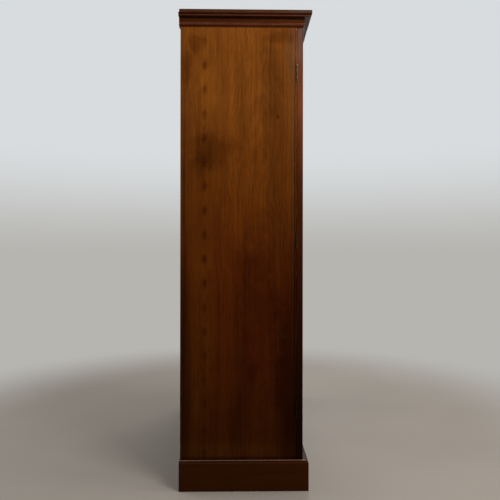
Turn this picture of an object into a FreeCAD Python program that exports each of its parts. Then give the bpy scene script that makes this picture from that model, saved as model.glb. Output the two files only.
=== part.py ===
import FreeCAD, Part
import Sketcher
import math
import os

# Display cabinet: a polished case on a plinth, with a cornice and two glazed doors.
# X runs across the width, -Y is the front and +Z is up. Millimetres throughout.

doc = FreeCAD.newDocument("DisplayCabinet")

# Driving dimensions
sizes = [
    ("overallHeight", 1760, "floor to the top of the top board"),
    ("caseWidth", 1160, "across the outer faces of the two sides"),
    ("caseDepth", 430, "front edge to back edge of a side"),
    ("plinthHeight", 110, "floor to the underside of the case"),
    ("corniceHeight", 52, "top of the case to the top of the top board"),
    ("overrun", 5, "how far a cutting shape passes the face that it cuts"),
    ("sideThick", 22, "thickness of a side"),
    ("boardThick", 20, "thickness of the case top and bottom"),
    ("housingDeep", 6, "how far those two boards enter the sides"),
    ("beadRadius", 3.5, "bead on the front corner of a side"),
    ("quirkWide", 1.2, "groove beside that bead"),
    ("pegHoleRadius", 2.75, "shelf peg hole"),
    ("pegHoleDeep", 12, "depth of a blind peg hole"),
    ("pegPitch", 89.6, "height from one peg hole to the next"),
    ("pegFirst", 29, "underside of the case to the lowest peg hole"),
    ("pegTopRoom", 16, "least room between the highest peg hole and the case top board"),
    ("pegFromBack", 89, "back edge of a side to the rear row of holes"),
    ("pegFromFront", 75, "front edge of a side to the front row of holes"),
    ("pegFit", 0.05, "radial clearance of a peg in its hole"),
    ("pegStandOut", 14, "length of peg that carries a shelf"),
    ("plugLong", 8, "length of the plug in the outer end of a through hole"),
    ("plugSink", 0.2, "how far the plug lies below the outer face"),
    ("backThick", 18, "thickness of the framed back"),
    ("backRebate", 10, "width of the rebate that holds the back"),
    ("backStileWide", 70, "width of the back's stiles and muntin"),
    ("backTopWide", 70, "height of the back's top rail"),
    ("backBottomWide", 90, "height of the back's bottom rail"),
    ("backPanelThick", 9, "thickness of a back panel"),
    ("backGroove", 7, "depth of the groove that holds a back panel"),
    ("panelRoom", 1, "room for a back panel to swell, at each edge in its groove"),
    ("shelfThick", 19, "thickness of a shelf"),
    ("shelfEndRoom", 2, "gap between a shelf end and the side"),
    ("shelfSetBack", 21, "front edge of a side to the front of a shelf"),
    ("shelfBackRoom", 3, "gap between a shelf and the back"),
    ("shelfSeat", 0.2, "gap between a resting shelf and its pegs"),
    ("plinthOut", 20, "how far the plinth stands out from side and door"),
    ("plinthBackOut", 2.5, "how far the plinth passes the back of the case"),
    ("plinthThick", 22, "thickness of a plinth board"),
    ("capThick", 12, "thickness of the plinth cap"),
    ("capFlat", 14.5, "how far the flat top of the cap stands out"),
    ("capFoot", 3, "square edge below the cap's moulding"),
    ("seatWide", 20, "how far cap and cornice reach under and over the case front"),
    ("blockWide", 36, "side of a glue block"),
    ("blockLong", 80, "height of a plinth glue block"),
    ("topThick", 11, "thickness of the top board"),
    ("topOut", 30, "how far the top board stands out from side and door"),
    ("topBackOut", 1.5, "how far the top board passes the back of the case"),
    ("corniceBackOut", 5, "how far the side mouldings pass the back of the case"),
    ("beadStart", 3, "height of the plain edge below the lower bead"),
    ("beadSeat", 2, "how far that plain edge stands out"),
    ("lowBeadRadius", 4, "lower bead of the cornice"),
    ("beadQuirk", 1.6, "groove above the lower bead"),
    ("friezeTop", 30, "underside of the cornice to its soffit"),
    ("friezeOut", 6, "how far the frieze stands out"),
    ("soffitOut", 24, "how far the soffit reaches"),
    ("highBeadRadius", 3, "upper bead of the cornice"),
    ("coveOut", 25.5, "how far the cove starts out"),
    ("corniceInner", 20, "how far the side mouldings reach in over the sides"),
    ("corniceRailThick", 20, "thickness of the rail behind the cornice"),
    ("doorThick", 22, "thickness of a door"),
    ("doorGap", 1.5, "gap between a closed door and the case"),
    ("doorClear", 2, "gap above and below a door"),
    ("meetingGap", 3, "gap between the two doors"),
    ("stileWide", 62, "width of a door stile and of the top rail"),
    ("lowRailWide", 80, "height of a door's bottom rail"),
    ("ovoloRadius", 5, "moulding round the inner edge of a door frame"),
    ("ovoloStep", 1.2, "small step beside that moulding"),
    ("lipThick", 11, "wood in front of the glass"),
    ("glassRebate", 8, "width of the rebate that holds the glass"),
    ("glassThick", 3, "thickness of the glass"),
    ("glassRoom", 1, "gap round the edge of the glass"),
    ("barWide", 14, "width of a glazing bar at the glass"),
    ("barBase", 4, "thickness of the square part of a glazing bar"),
    ("barNoseRadius", 4.5, "rounded front of a glazing bar"),
    ("stripBack", 0.5, "how far a glazing strip lies below the back of the door"),
    ("tenonThick", 8, "thickness of a rail tenon"),
    ("tenonLong", 38, "length of a rail tenon"),
    ("tenonSetBack", 7, "front of the door to the front of a tenon"),
    ("haunch", 14, "wood between a tenon and the end of the stile"),
    ("hingeLong", 64, "height of a hinge"),
    ("hingeFromTop", 165, "top of the door to the middle of the top hinge"),
    ("hingeFromBottom", 185, "bottom of the door to the middle of the low hinge"),
    ("leafWide", 19, "hinge pin to the edge of a leaf"),
    ("leafThick", 1.6, "thickness of a leaf"),
    ("leafApart", 0.2, "leaf to the plane through the pin"),
    ("knuckleRadius", 3.2, "outside of a knuckle"),
    ("knuckleGap", 0.2, "gap between two knuckles"),
    ("knuckleRoom", 0.3, "gap round the knuckles"),
    ("pinRadius", 1.5, "hinge pin"),
    ("pinFit", 0.05, "radial clearance of the pin in the knuckles"),
    ("screwHeadRadius", 2.8, "head of a hinge screw"),
    ("screwRadius", 1.4, "shank of a hinge screw"),
    ("screwLong", 13, "length of a hinge screw"),
    ("screwEdge", 9, "end of a leaf to its end screws"),
    ("screwAcross", 8.5, "edge of a leaf to its outer screws"),
    ("boltRadius", 3, "sliding rod of a barrel bolt"),
    ("boltFit", 0.05, "radial clearance of the rod in its case"),
    ("boltLong", 74, "length of the rod"),
    ("boltAxisBack", 7.5, "back of the door to the middle of the rod"),
    ("boltTravel", 12, "how far the rod slides"),
    ("boltClear", 2, "gap between a drawn rod and the case board"),
    ("boltCaseWide", 13, "width of the bolt's barrel"),
    ("boltCaseDeep", 11.5, "back of the door to the back of the barrel"),
    ("boltCaseLong", 50, "length of the barrel"),
    ("boltCaseClear", 7, "gap between the barrel and the case board"),
    ("boltPlateWide", 24, "width of the bolt's fixing plate"),
    ("boltPlateThick", 1.5, "thickness of the fixing plate"),
    ("knobRadius", 2.5, "finger knob on the rod"),
    ("knobStandOut", 5, "how far the knob stands out of the barrel"),
    ("knobFromEnd", 9, "end of the barrel to the knob of a drawn bolt"),
    ("knobRoom", 0.4, "gap beside the knob in its slot"),
    ("keepWide", 22, "width of a bolt keep"),
    ("keepDeep", 12, "front edge of the case board to the back of a keep"),
    ("keepThick", 1.5, "thickness of a keep and of the strike plate"),
    ("keepRoom", 0.4, "gap round the rod in its keep"),
    ("keepHoleDeep", 16, "depth of the hole for the rod"),
    ("lockHeight", 800, "floor to the middle of the keyhole"),
    ("lockFromEdge", 32, "edge of the right door to the middle of the keyhole"),
    ("lockEdge", 3, "wood between the lock and the edge of the door"),
    ("lockWide", 44, "width of the lock case"),
    ("lockBelow", 14, "keyhole to the bottom of the lock case"),
    ("lockAbove", 24, "keyhole to the top of the lock case"),
    ("lockDeep", 12, "back of the door to the front of the lock case"),
    ("lockWall", 1.5, "thickness of the lock's metal"),
    ("capMargin", 3, "how far the lock's back plate passes its case"),
    ("boltThick", 5, "thickness of the lock bolt"),
    ("boltTall", 10, "height of the lock bolt"),
    ("boltShank", 36, "length of the lock bolt"),
    ("boltAbove", 10.5, "keyhole to the underside of the lock bolt"),
    ("boltSink", 0.5, "edge of the door to the tip of a drawn lock bolt"),
    ("boltSlip", 0.3, "gap round the lock bolt"),
    ("lockThrow", 9, "how far the lock bolt slides"),
    ("strikeWide", 14, "width of the strike plate"),
    ("strikeTall", 34, "height of the strike plate"),
    ("strikeDeep", 12, "depth of the mortise behind the strike plate"),
    ("keyRadius", 2.5, "shank of the key"),
    ("keyRoom", 0.4, "gap round the key in its hole"),
    ("keyBitReach", 9, "middle of the key to the end of its bit"),
    ("keyBitThick", 2, "thickness of the key's bit"),
    ("keyBitRoom", 1, "gap between the key's bit and the metal in front of and behind it"),
    ("keyOut", 8, "front of the door to the start of the key's bow"),
    ("bowRadius", 7, "middle of the key's ring"),
    ("bowWire", 2, "thickness of the key's ring, as a radius"),
    ("plateThick", 1.5, "thickness of the escutcheon"),
    ("plateRadius", 9, "rounded ends of the escutcheon"),
    ("plateTall", 36, "height of the escutcheon"),
    ("slotWide", 2.8, "slot below the keyhole"),
]

dim = doc.addObject("Spreadsheet::Sheet", "dim")
for row, (alias, number, note) in enumerate(sizes, 1):
    dim.set(f"A{row}", note)
    dim.set(f"B{row}", str(number))
    dim.setAlias(f"B{row}", alias)
doc.recompute()

# Counts and shares, which have no unit
shelfRowShares = (4 / 17, 7 / 17, 10 / 17, 13 / 17)
doorColumns = 3
knuckleCount = 5
screwRowShares = (0, 0.5, 1)

# Planes and lines that several pieces share
sideOut = "(dim.caseWidth / 2)"
sideIn = f"({sideOut} - dim.sideThick)"
caseBottom = "dim.plinthHeight"
caseTop = "(dim.overallHeight - dim.corniceHeight)"
boardLow = f"({caseBottom} + dim.boardThick)"
boardHigh = f"({caseTop} - dim.boardThick)"
frontToCase = "(dim.doorThick + dim.doorGap)"
caseBack = f"((dim.topOut + dim.caseDepth + {frontToCase} - dim.corniceBackOut) / 2)"
caseFront = f"({caseBack} - dim.caseDepth)"
doorBack = f"({caseFront} - dim.doorGap)"
doorFront = f"({doorBack} - dim.doorThick)"
doorLow = f"({caseBottom} + dim.doorClear)"
doorHigh = f"({caseTop} - dim.doorClear)"
meeting = "(dim.meetingGap / 2)"
backFront = f"({caseBack} - dim.backThick)"

planeNames = {"xy": "XY_Plane", "xz": "XZ_Plane", "yz": "YZ_Plane"}
turns = {
    "x": FreeCAD.Rotation(FreeCAD.Vector(0, 1, 0), 90),
    "y": FreeCAD.Rotation(FreeCAD.Vector(1, 0, 0), -90),
    "z": FreeCAD.Rotation(),
}
subparts = []


def valueOf(expression):
    """The present value of an expression in the sheet's sizes."""
    return float(dim.evalExpression(str(expression)))


def mirrored(span):
    """The same span on the other side of the middle plane."""
    low, high = span
    return (f"-({high})", f"-({low})")


def onSide(side, span):
    """A span across X, given for the right side, on the side asked for."""
    return span if side == "right" else mirrored(span)


def block(name, xs, ys, zs):
    """A square-edged board between two planes on each axis."""
    item = doc.addObject("Part::Box", name)
    for length, axis, (low, high) in zip(("Length", "Width", "Height"), "xyz", (xs, ys, zs)):
        item.setExpression(length, f"{high} - ({low})")
        item.setExpression(f"Placement.Base.{axis}", f"{low}")
    return item


def rod(name, axis, radius, **place):
    """A round bar along one axis: a span on that axis and a value on the others."""
    item = doc.addObject("Part::Cylinder", name)
    low, high = place[axis]
    item.Placement = FreeCAD.Placement(FreeCAD.Vector(), turns[axis])
    item.setExpression("Radius", f"{radius}")
    item.setExpression("Height", f"{high} - ({low})")
    for each in "xyz":
        item.setExpression(f"Placement.Base.{each}", f"{low if each == axis else place[each]}")
    return item


def fuse(name, *pieces):
    """Several shapes made one."""
    item = doc.addObject("Part::MultiFuse", name)
    item.Shapes = list(pieces)
    return item


def gather(name, *pieces):
    """Alike pieces kept as separate solids of one set."""
    item = doc.addObject("Part::Compound", name)
    item.Links = list(pieces)
    return item


def cut(name, base, *tools):
    """A shape less one or more others."""
    item = doc.addObject("Part::Cut", name)
    item.Base = base
    item.Tool = tools[0] if len(tools) == 1 else fuse(f"{name}_cutters", *tools)
    return item


def mirror(name, source):
    """The left piece turned into its right-hand partner."""
    item = doc.addObject("Part::Mirroring", name)
    item.Source = source
    item.Normal = (1, 0, 0)
    return item


def originPart(body, role):
    """One plane or axis of a body's own origin."""
    return next(item for item in body.Origin.OriginFeatures if item.Role == role)


def outlineSketch(body, plane, outline):
    """A closed outline: each point has x and y, and for an arc its centre and direction."""
    sketch = body.newObject("Sketcher::SketchObject", f"{body.Name}_outline")
    sketch.AttachmentSupport = [(originPart(body, planeNames[plane]), "")]
    sketch.MapMode = "FlatFace"
    points = [FreeCAD.Vector(valueOf(entry[0]), valueOf(entry[1]), 0) for entry in outline]
    starts = []
    centres = []
    for number, entry in enumerate(outline):
        here = points[number]
        there = points[(number + 1) % len(points)]
        if len(entry) == 2:
            sketch.addGeometry(Part.LineSegment(here, there), False)
            starts.append(1)
            continue
        centre = FreeCAD.Vector(valueOf(entry[2]), valueOf(entry[3]), 0)
        angles = [math.atan2(end.y - centre.y, end.x - centre.x) for end in (here, there)]
        forward = entry[4] == "ccw"
        circle = Part.Circle(centre, FreeCAD.Vector(0, 0, 1), here.distanceToPoint(centre))
        sketch.addGeometry(Part.ArcOfCircle(circle, *(angles if forward else angles[::-1])), False)
        starts.append(1 if forward else 2)
        upright = abs(there.x - here.x) < abs(there.y - here.y)
        centres.append((number, "DistanceX", entry[2]) if upright else (number, "DistanceY", entry[3]))
    for number, start in enumerate(starts):
        following = (number + 1) % len(starts)
        joint = Sketcher.Constraint("Coincident", number, 3 - start, following, starts[following])
        sketch.addConstraint(joint)
    for number, start in enumerate(starts):
        for kind, expression in zip(("DistanceX", "DistanceY"), outline[number][:2]):
            place = Sketcher.Constraint(kind, -1, 1, number, start, valueOf(expression))
            sketch.setExpression(f"Constraints[{sketch.addConstraint(place)}]", f"{expression}")
    for number, kind, expression in centres:
        place = Sketcher.Constraint(kind, -1, 1, number, 3, valueOf(expression))
        sketch.setExpression(f"Constraints[{sketch.addConstraint(place)}]", f"{expression}")
    return sketch


def prism(name, plane, outline, length, base):
    """A body padded from one outline, with its start on the plane's axis at the base value."""
    body = doc.addObject("PartDesign::Body", name)
    pad = body.newObject("PartDesign::Pad", f"{name}_pad")
    pad.Profile = outlineSketch(body, plane, outline)
    pad.setExpression("Length", f"{length}")
    body.Tip = pad
    for axis, place in base.items():
        body.setExpression(f"Placement.Base.{axis}", f"{place}")
    return body


def subpart(node, item):
    """Give a finished piece its name among the sub-parts."""
    item.Label = node
    subparts.append(item)
    return item


# Case top and bottom, housed in the sides
housed = f"({sideIn} + dim.housingDeep)"
acrossCase = (f"-{housed}", housed)
caseBottomBoard = block("CaseBottom", acrossCase, (caseFront, backFront), (caseBottom, boardLow))
caseTopBoard = block("CaseTop", acrossCase, (caseFront, backFront), (boardHigh, caseTop))

# Peg holes: how many rows the height has room for, and the rows that carry shelves
pegLow = f"({caseBottom} + dim.pegFirst)"
rowsHigh = valueOf(f"floor(({boardHigh} - dim.pegTopRoom - {pegLow}) / dim.pegPitch)")
rowCount = int(rowsHigh) + 1
pegHeights = [f"({pegLow} + {row} * dim.pegPitch)" for row in range(rowCount)]
shelfHeights = [pegHeights[round(share * (rowCount - 1))] for share in shelfRowShares]
pegRear = f"({caseBack} - dim.pegFromBack)"
pegFront = f"({caseFront} + dim.pegFromFront)"


def sideBoard():
    """Left side: a board with a bead on its front corner and a rebate for the back."""
    outer = f"-{sideOut}"
    inner = f"-{sideIn}"
    beadMiddle = f"{outer} + dim.beadRadius"
    beadBack = f"{caseFront} + 2 * dim.beadRadius"
    outline = [
        (outer, caseBack),
        (outer, f"{beadBack} + dim.quirkWide"),
        (beadMiddle, f"{beadBack} + dim.quirkWide"),
        (beadMiddle, beadBack, beadMiddle, f"{caseFront} + dim.beadRadius", "ccw"),
        (beadMiddle, caseFront),
        (inner, caseFront),
        (inner, backFront),
        (f"{inner} - dim.backRebate", backFront),
        (f"{inner} - dim.backRebate", caseBack),
    ]
    body = prism("SideBoard", "xy", outline, f"{caseTop} - {caseBottom}", {"z": caseBottom})
    doc.recompute()
    for row, across, through in (("Front", pegFront, False), ("Rear", pegRear, True)):
        sketch = body.newObject("Sketcher::SketchObject", f"PegHole{row}")
        sketch.AttachmentSupport = [(originPart(body, "YZ_Plane"), "")]
        sketch.MapMode = "FlatFace"
        sketch.setExpression("AttachmentOffset.Base.z", inner)
        centre = FreeCAD.Vector(valueOf(across), valueOf("dim.pegFirst"), 0)
        radius = valueOf("dim.pegHoleRadius")
        sketch.addGeometry(Part.Circle(centre, FreeCAD.Vector(0, 0, 1), radius), False)
        rules = (("DistanceX", across), ("DistanceY", "dim.pegFirst"))
        for kind, expression in rules:
            place = Sketcher.Constraint(kind, -1, 1, 0, 3, valueOf(expression))
            sketch.setExpression(f"Constraints[{sketch.addConstraint(place)}]", f"{expression}")
        width = sketch.addConstraint(Sketcher.Constraint("Radius", 0, radius))
        sketch.setExpression(f"Constraints[{width}]", "dim.pegHoleRadius")
        hole = body.newObject("PartDesign::Pocket", f"PegHole{row}_pocket")
        hole.Profile = sketch
        hole.Type = "ThroughAll" if through else "Length"
        hole.setExpression("Length", "dim.pegHoleDeep")
        body.Tip = hole
        doc.recompute()
        row = body.newObject("PartDesign::LinearPattern", f"PegHole{row}_row")
        row.Originals = [hole]
        row.Direction = (originPart(body, "Z_Axis"), [""])
        row.Occurrences = rowCount
        row.setExpression("Length", f"{rowCount - 1} * dim.pegPitch")
        body.Tip = row
        doc.recompute()
    return body


# Hinges: three to a door, with the pin on the plane of the side's outer face
pinX = f"(-{sideOut})"
pinY = f"({caseFront} - dim.doorGap / 2)"
hingeTop = f"({doorHigh} - dim.hingeFromTop)"
hingeBottom = f"({doorLow} + dim.hingeFromBottom)"
hingeMiddles = (hingeBottom, f"(({hingeBottom} + {hingeTop}) / 2)", hingeTop)
knuckleHole = "(dim.knuckleRadius + dim.knuckleRoom)"
leafFace = {"jamb": f"({pinY} + dim.leafApart)", "door": f"({pinY} - dim.leafApart)"}
leafBack = {
    "jamb": f"({pinY} + dim.leafApart + dim.leafThick)",
    "door": f"({pinY} - dim.leafApart - dim.leafThick)",
}


def leafDepth(leaf):
    """The span in Y of one leaf."""
    return (leafFace["jamb"], leafBack["jamb"]) if leaf == "jamb" else (leafBack["door"], leafFace["door"])


def hingeScrews(leaf, start):
    """Three countersunk screws through one leaf of a left hinge."""
    screws = []
    face = leafFace[leaf]
    into = 1 if leaf == "jamb" else -1
    farX = f"({pinX} + dim.leafWide - dim.screwAcross / 2)"
    nearX = f"({pinX} + dim.leafWide - dim.screwAcross)"
    for number, share in enumerate(screwRowShares):
        z = f"{start} + dim.screwEdge + {share} * (dim.hingeLong - 2 * dim.screwEdge)"
        x = nearX if number % 2 else farX
        head = doc.addObject("Part::Cone", "ScrewHead")
        head.Placement = FreeCAD.Placement(FreeCAD.Vector(), FreeCAD.Rotation(FreeCAD.Vector(1, 0, 0), -90 * into))
        head.setExpression("Radius1", "dim.screwHeadRadius")
        head.setExpression("Radius2", "dim.screwRadius")
        head.setExpression("Height", "dim.leafThick")
        for axis, place in zip("xyz", (x, face, z)):
            head.setExpression(f"Placement.Base.{axis}", f"{place}")
        tip = f"{face} + {into} * dim.screwLong"
        neck = f"{face} + {into} * dim.leafThick / 2"
        span = (neck, tip) if into > 0 else (tip, neck)
        shank = rod("ScrewShank", "y", "dim.screwRadius", x=x, y=span, z=z)
        screws.append(fuse("Screw", head, shank))
    return screws


def hingeLeaf(leaf, start, screws):
    """One leaf: a plate, its share of the knuckles and the holes for pin and screws."""
    end = f"{start} + dim.hingeLong"
    depth = leafDepth(leaf)
    plate = block("LeafPlate", (f"{pinX} + {knuckleHole}", f"{pinX} + dim.leafWide"), depth, (start, end))
    pieces = [plate]
    first = 0 if leaf == "jamb" else 1
    for number in range(first, knuckleCount, 2):
        low = f"{start} + {number} * dim.hingeLong / {knuckleCount} + dim.knuckleGap / 2"
        high = f"{start} + {number + 1} * dim.hingeLong / {knuckleCount} - dim.knuckleGap / 2"
        pieces.append(rod("Knuckle", "z", "dim.knuckleRadius", x=pinX, y=pinY, z=(low, high)))
        pieces.append(block("KnuckleNeck", (pinX, f"{pinX} + {knuckleHole}"), depth, (low, high)))
    whole = fuse("LeafBlank", *pieces)
    bore = rod("KnuckleBore", "z", "dim.pinRadius + dim.pinFit", x=pinX, y=pinY,
               z=(f"{start} - dim.overrun", f"{end} + dim.overrun"))
    return cut("Leaf", whole, bore, *screws)


# All left-hand hinges, and what they take out of the wood
hingeStarts = [f"({middle} - dim.hingeLong / 2)" for middle in hingeMiddles]
jambScrews = [screw for start in hingeStarts for screw in hingeScrews("jamb", start)]
doorScrews = [screw for start in hingeStarts for screw in hingeScrews("door", start)]
jambLeaves = [hingeLeaf("jamb", start, jambScrews[3 * n:3 * n + 3]) for n, start in enumerate(hingeStarts)]
doorLeaves = [hingeLeaf("door", start, doorScrews[3 * n:3 * n + 3]) for n, start in enumerate(hingeStarts)]
pins = []
hingeRecesses = {"jamb": [], "door": []}
for start in hingeStarts:
    end = f"{start} + dim.hingeLong"
    pins.append(rod("HingePin", "z", "dim.pinRadius", x=pinX, y=pinY, z=(start, end)))
    notch = rod("KnuckleNotch", "z", knuckleHole, x=pinX, y=pinY,
                z=(f"{start} - dim.knuckleGap", f"{end} + dim.knuckleGap"))
    for leaf in ("jamb", "door"):
        recess = block("LeafRecess", (pinX, f"{pinX} + dim.leafWide"), leafDepth(leaf), (start, end))
        hingeRecesses[leaf] += [notch, recess]

leftSide = cut("LeftSide", sideBoard(), caseBottomBoard, caseTopBoard, *hingeRecesses["jamb"], *jambScrews)
rightSide = mirror("RightSide", leftSide)

# Plugs in the outer ends of the through holes, and pegs under the shelves
plugs = []
pegs = []
for height in pegHeights:
    for side in ("left", "right"):
        span = onSide(side, (f"{sideOut} - dim.plugLong", f"{sideOut} - dim.plugSink"))
        plugs.append(rod("Plug", "x", "dim.pegHoleRadius", x=span, y=pegRear, z=height))
for height in shelfHeights:
    for side in ("left", "right"):
        for across in (pegFront, pegRear):
            span = onSide(side, (f"{sideIn} - dim.pegStandOut", f"{sideIn} + dim.pegHoleDeep"))
            pegs.append(rod("Peg", "x", "dim.pegHoleRadius - dim.pegFit", x=span, y=across, z=height))

# Shelves
shelfHalf = f"({sideIn} - dim.shelfEndRoom)"
shelfDepth = (f"{caseFront} + dim.shelfSetBack", f"{backFront} - dim.shelfBackRoom")
pegTop = "dim.pegHoleRadius - dim.pegFit + dim.shelfSeat"
for number, height in enumerate(shelfHeights, 1):
    rise = (f"{height} + {pegTop}", f"{height} + {pegTop} + dim.shelfThick")
    subpart(f"shelf_{number}", block("Shelf", (f"-{shelfHalf}", shelfHalf), shelfDepth, rise))

subpart("side_panel_left", leftSide)
subpart("side_panel_right", rightSide)
subpart("peg_hole_plugs", gather("Plugs", *plugs))
subpart("shelf_pegs", gather("Pegs", *pegs))

# Framed back: stiles, muntin and rails grooved for two panels
backHalf = f"({sideIn} + dim.backRebate)"
backDepth = (backFront, caseBack)
backMiddle = f"({caseBack} - dim.backThick / 2)"
grooveDepth = (f"{backMiddle} - dim.backPanelThick / 2", f"{backMiddle} + dim.backPanelThick / 2")
stileIn = f"({backHalf} - dim.backStileWide)"
muntinHalf = "(dim.backStileWide / 2)"
railLow = f"({caseBottom} + dim.backBottomWide)"
railHigh = f"({caseTop} - dim.backTopWide)"
caseRise = (caseBottom, caseTop)
grooveRise = (f"{railLow} - dim.backGroove", f"{railHigh} + dim.backGroove")
insideStiles = (f"-{stileIn} - dim.backGroove", f"{stileIn} + dim.backGroove")
railTongues = [
    block("TopTongue", insideStiles, grooveDepth, (f"{railHigh}", f"{caseTop} - dim.backGroove")),
    block("LowTongue", insideStiles, grooveDepth, (f"{caseBottom} + dim.backGroove", railLow)),
]
panelField = block("PanelField", insideStiles, grooveDepth, grooveRise)
betweenStiles = (f"-{stileIn}", stileIn)
topRail = block("BackTopRail", betweenStiles, backDepth, (railHigh, caseTop))
lowRail = block("BackLowRail", betweenStiles, backDepth, (caseBottom, railLow))
backStile = block("BackStile", (f"-{backHalf}", f"-{stileIn}"), backDepth, caseRise)
muntin = block("Muntin", (f"-{muntinHalf}", muntinHalf), backDepth, (railLow, railHigh))
muntinTongue = block("MuntinTongue", (f"-{muntinHalf} + dim.backGroove", f"{muntinHalf} - dim.backGroove"),
                     grooveDepth, grooveRise)
grooves = {side: block("MuntinGroove", onSide(side, (f"{muntinHalf} - dim.backGroove",
                       f"{muntinHalf} + dim.backGroove")), grooveDepth, (railLow, railHigh))
           for side in ("left", "right")}
leftStile = cut("BackStileLeft", backStile, panelField, *railTongues)
subpart("back_stile_left", leftStile)
subpart("back_stile_right", mirror("BackStileRight", leftStile))
subpart("back_muntin", fuse("BackMuntin", cut("MuntinBody", muntin, grooves["left"], grooves["right"]),
                            muntinTongue))
subpart("back_top_rail", fuse("BackTop", cut("BackTopGrooved", topRail, panelField), cut(
    "TopTongueEnds", railTongues[0], panelField)))
subpart("back_bottom_rail", fuse("BackLow", cut("BackLowGrooved", lowRail, panelField), cut(
    "LowTongueEnds", railTongues[1], panelField)))
panelSpan = (f"{muntinHalf} - dim.backGroove + dim.panelRoom", f"{stileIn} + dim.backGroove - dim.panelRoom")
panelRise = (f"{grooveRise[0]} + dim.panelRoom", f"{grooveRise[1]} - dim.panelRoom")
backPanels = [block("BackPanel", onSide(side, panelSpan), grooveDepth, panelRise) for side in ("left", "right")]
subpart("back_panels", gather("BackPanels", *backPanels))

# Mitre at the front left corner, where the side's and the door's outer planes meet
reach = "(dim.caseWidth + dim.caseDepth)"
leftMitre = doc.addObject("Part::Box", "LeftMitre")
leftMitre.Placement = FreeCAD.Placement(FreeCAD.Vector(), FreeCAD.Rotation(FreeCAD.Vector(0, 0, 1), 45))
leftMitre.setExpression("Length", f"2 * {reach}")
leftMitre.setExpression("Width", reach)
leftMitre.setExpression("Height", "dim.overallHeight")
leftMitre.setExpression("Placement.Base.x", f"-{sideOut} - {reach} / sqrt(2)")
leftMitre.setExpression("Placement.Base.y", f"{doorFront} - {reach} / sqrt(2)")
rightMitre = mirror("RightMitre", leftMitre)


def mouldingSet(name, outline, low, inner, frontInner, out, backOut):
    """Front and side lengths of one moulding, mitred at both front corners."""
    sideAt = lambda distance: f"-({sideOut} + {distance})"
    frontAt = lambda distance: f"{doorFront} - ({distance})"
    backEnd = f"{caseBack} + {backOut}"
    sideRun = f"{backEnd} - ({doorFront}) + {out}"
    sideBlank = prism(f"{name}SideRun", "xz", outline(sideAt, inner), sideRun, {"y": backEnd, "z": low})
    half = f"({sideOut} + {out})"
    frontBlank = prism(f"{name}FrontRun", "yz", outline(frontAt, frontInner), f"2 * {half}",
                       {"x": f"-{half}", "z": low})
    left = doc.addObject("Part::MultiCommon", f"{name}Left")
    left.Shapes = [sideBlank, leftMitre]
    front = cut(f"{name}Front", frontBlank, leftMitre, rightMitre)
    return front, left, mirror(f"{name}Right", left)


def capOutline(at, inner):
    """Plinth cap: square foot, quarter round and a small flat on top."""
    ovolo = "(dim.plinthOut - dim.capFlat)"
    return [
        (at(inner), "0"),
        (at(inner), "dim.capThick"),
        (at("dim.capFlat"), "dim.capThick"),
        (at("dim.capFlat"), f"dim.capFoot + {ovolo}", at("dim.capFlat"), "dim.capFoot", "ccw"),
        (at("dim.plinthOut"), "dim.capFoot"),
        (at("dim.plinthOut"), "0"),
    ]


def corniceOutline(at, inner):
    """Cornice: low bead, plain frieze, soffit, high bead and a cove under the top board."""
    lowEnd = "dim.beadStart + 2 * dim.lowBeadRadius"
    highStart = "dim.friezeTop + dim.highBeadRadius"
    highEnd = "dim.friezeTop + 2 * dim.highBeadRadius"
    rise = "(dim.corniceHeight - dim.topThick)"
    coveRadius = f"({rise} - ({highEnd}))"
    return [
        (at(inner), "0"),
        (at(inner), rise),
        (at("dim.topOut"), rise),
        (at("dim.topOut"), f"{rise} - dim.ovoloStep"),
        (at("dim.topOut - dim.ovoloStep"), f"{rise} - dim.ovoloStep"),
        (at("dim.coveOut"), highEnd),
        (at("dim.soffitOut"), highEnd, at("dim.soffitOut"), highStart, "ccw"),
        (at("dim.soffitOut"), "dim.friezeTop"),
        (at("dim.friezeOut"), "dim.friezeTop"),
        (at("dim.friezeOut"), f"{lowEnd} + dim.beadQuirk"),
        (at("dim.beadSeat"), f"{lowEnd} + dim.beadQuirk"),
        (at("dim.beadSeat"), lowEnd, at("dim.beadSeat"), "dim.beadStart + dim.lowBeadRadius", "ccw"),
        (at("dim.beadSeat"), "dim.beadStart"),
        (at("dim.beadSeat"), "0"),
    ]


# Plinth: mitred boards, back board, moulded cap and glue blocks
capLow = "(dim.plinthHeight - dim.capThick)"


def plinthOutline(at, inner):
    """Plain plinth board."""
    return [(at(inner), "0"), (at(inner), capLow), (at("dim.plinthOut"), capLow), (at("dim.plinthOut"), "0")]


plinthIn = "dim.plinthOut - dim.plinthThick"
frontSeat = f"-({frontToCase} + dim.seatWide)"
plinth = mouldingSet("Plinth", plinthOutline, "0", plinthIn, plinthIn, "dim.plinthOut", "dim.plinthBackOut")
caps = mouldingSet("Cap", capOutline, capLow, "-dim.sideThick", frontSeat, "dim.plinthOut", "dim.plinthBackOut")
for piece, place in zip(plinth, ("front", "left", "right")):
    subpart(f"plinth_{place}", piece)
for piece, place in zip(caps, ("front", "left", "right")):
    subpart(f"plinth_cap_{place}", piece)
plinthSideIn = f"({sideOut} + {plinthIn})"
plinthEnd = f"({caseBack} + dim.plinthBackOut)"
plinthBackDepth = (f"{plinthEnd} - dim.plinthThick", plinthEnd)
plinthBack = fuse(
    "PlinthBack",
    block("PlinthBackBoard", (f"-{plinthSideIn}", plinthSideIn), plinthBackDepth, ("0", capLow)),
    block("PlinthBackTop", (f"-{sideIn}", sideIn), plinthBackDepth, (capLow, caseBottom)),
)
subpart("plinth_back", plinthBack)

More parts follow.
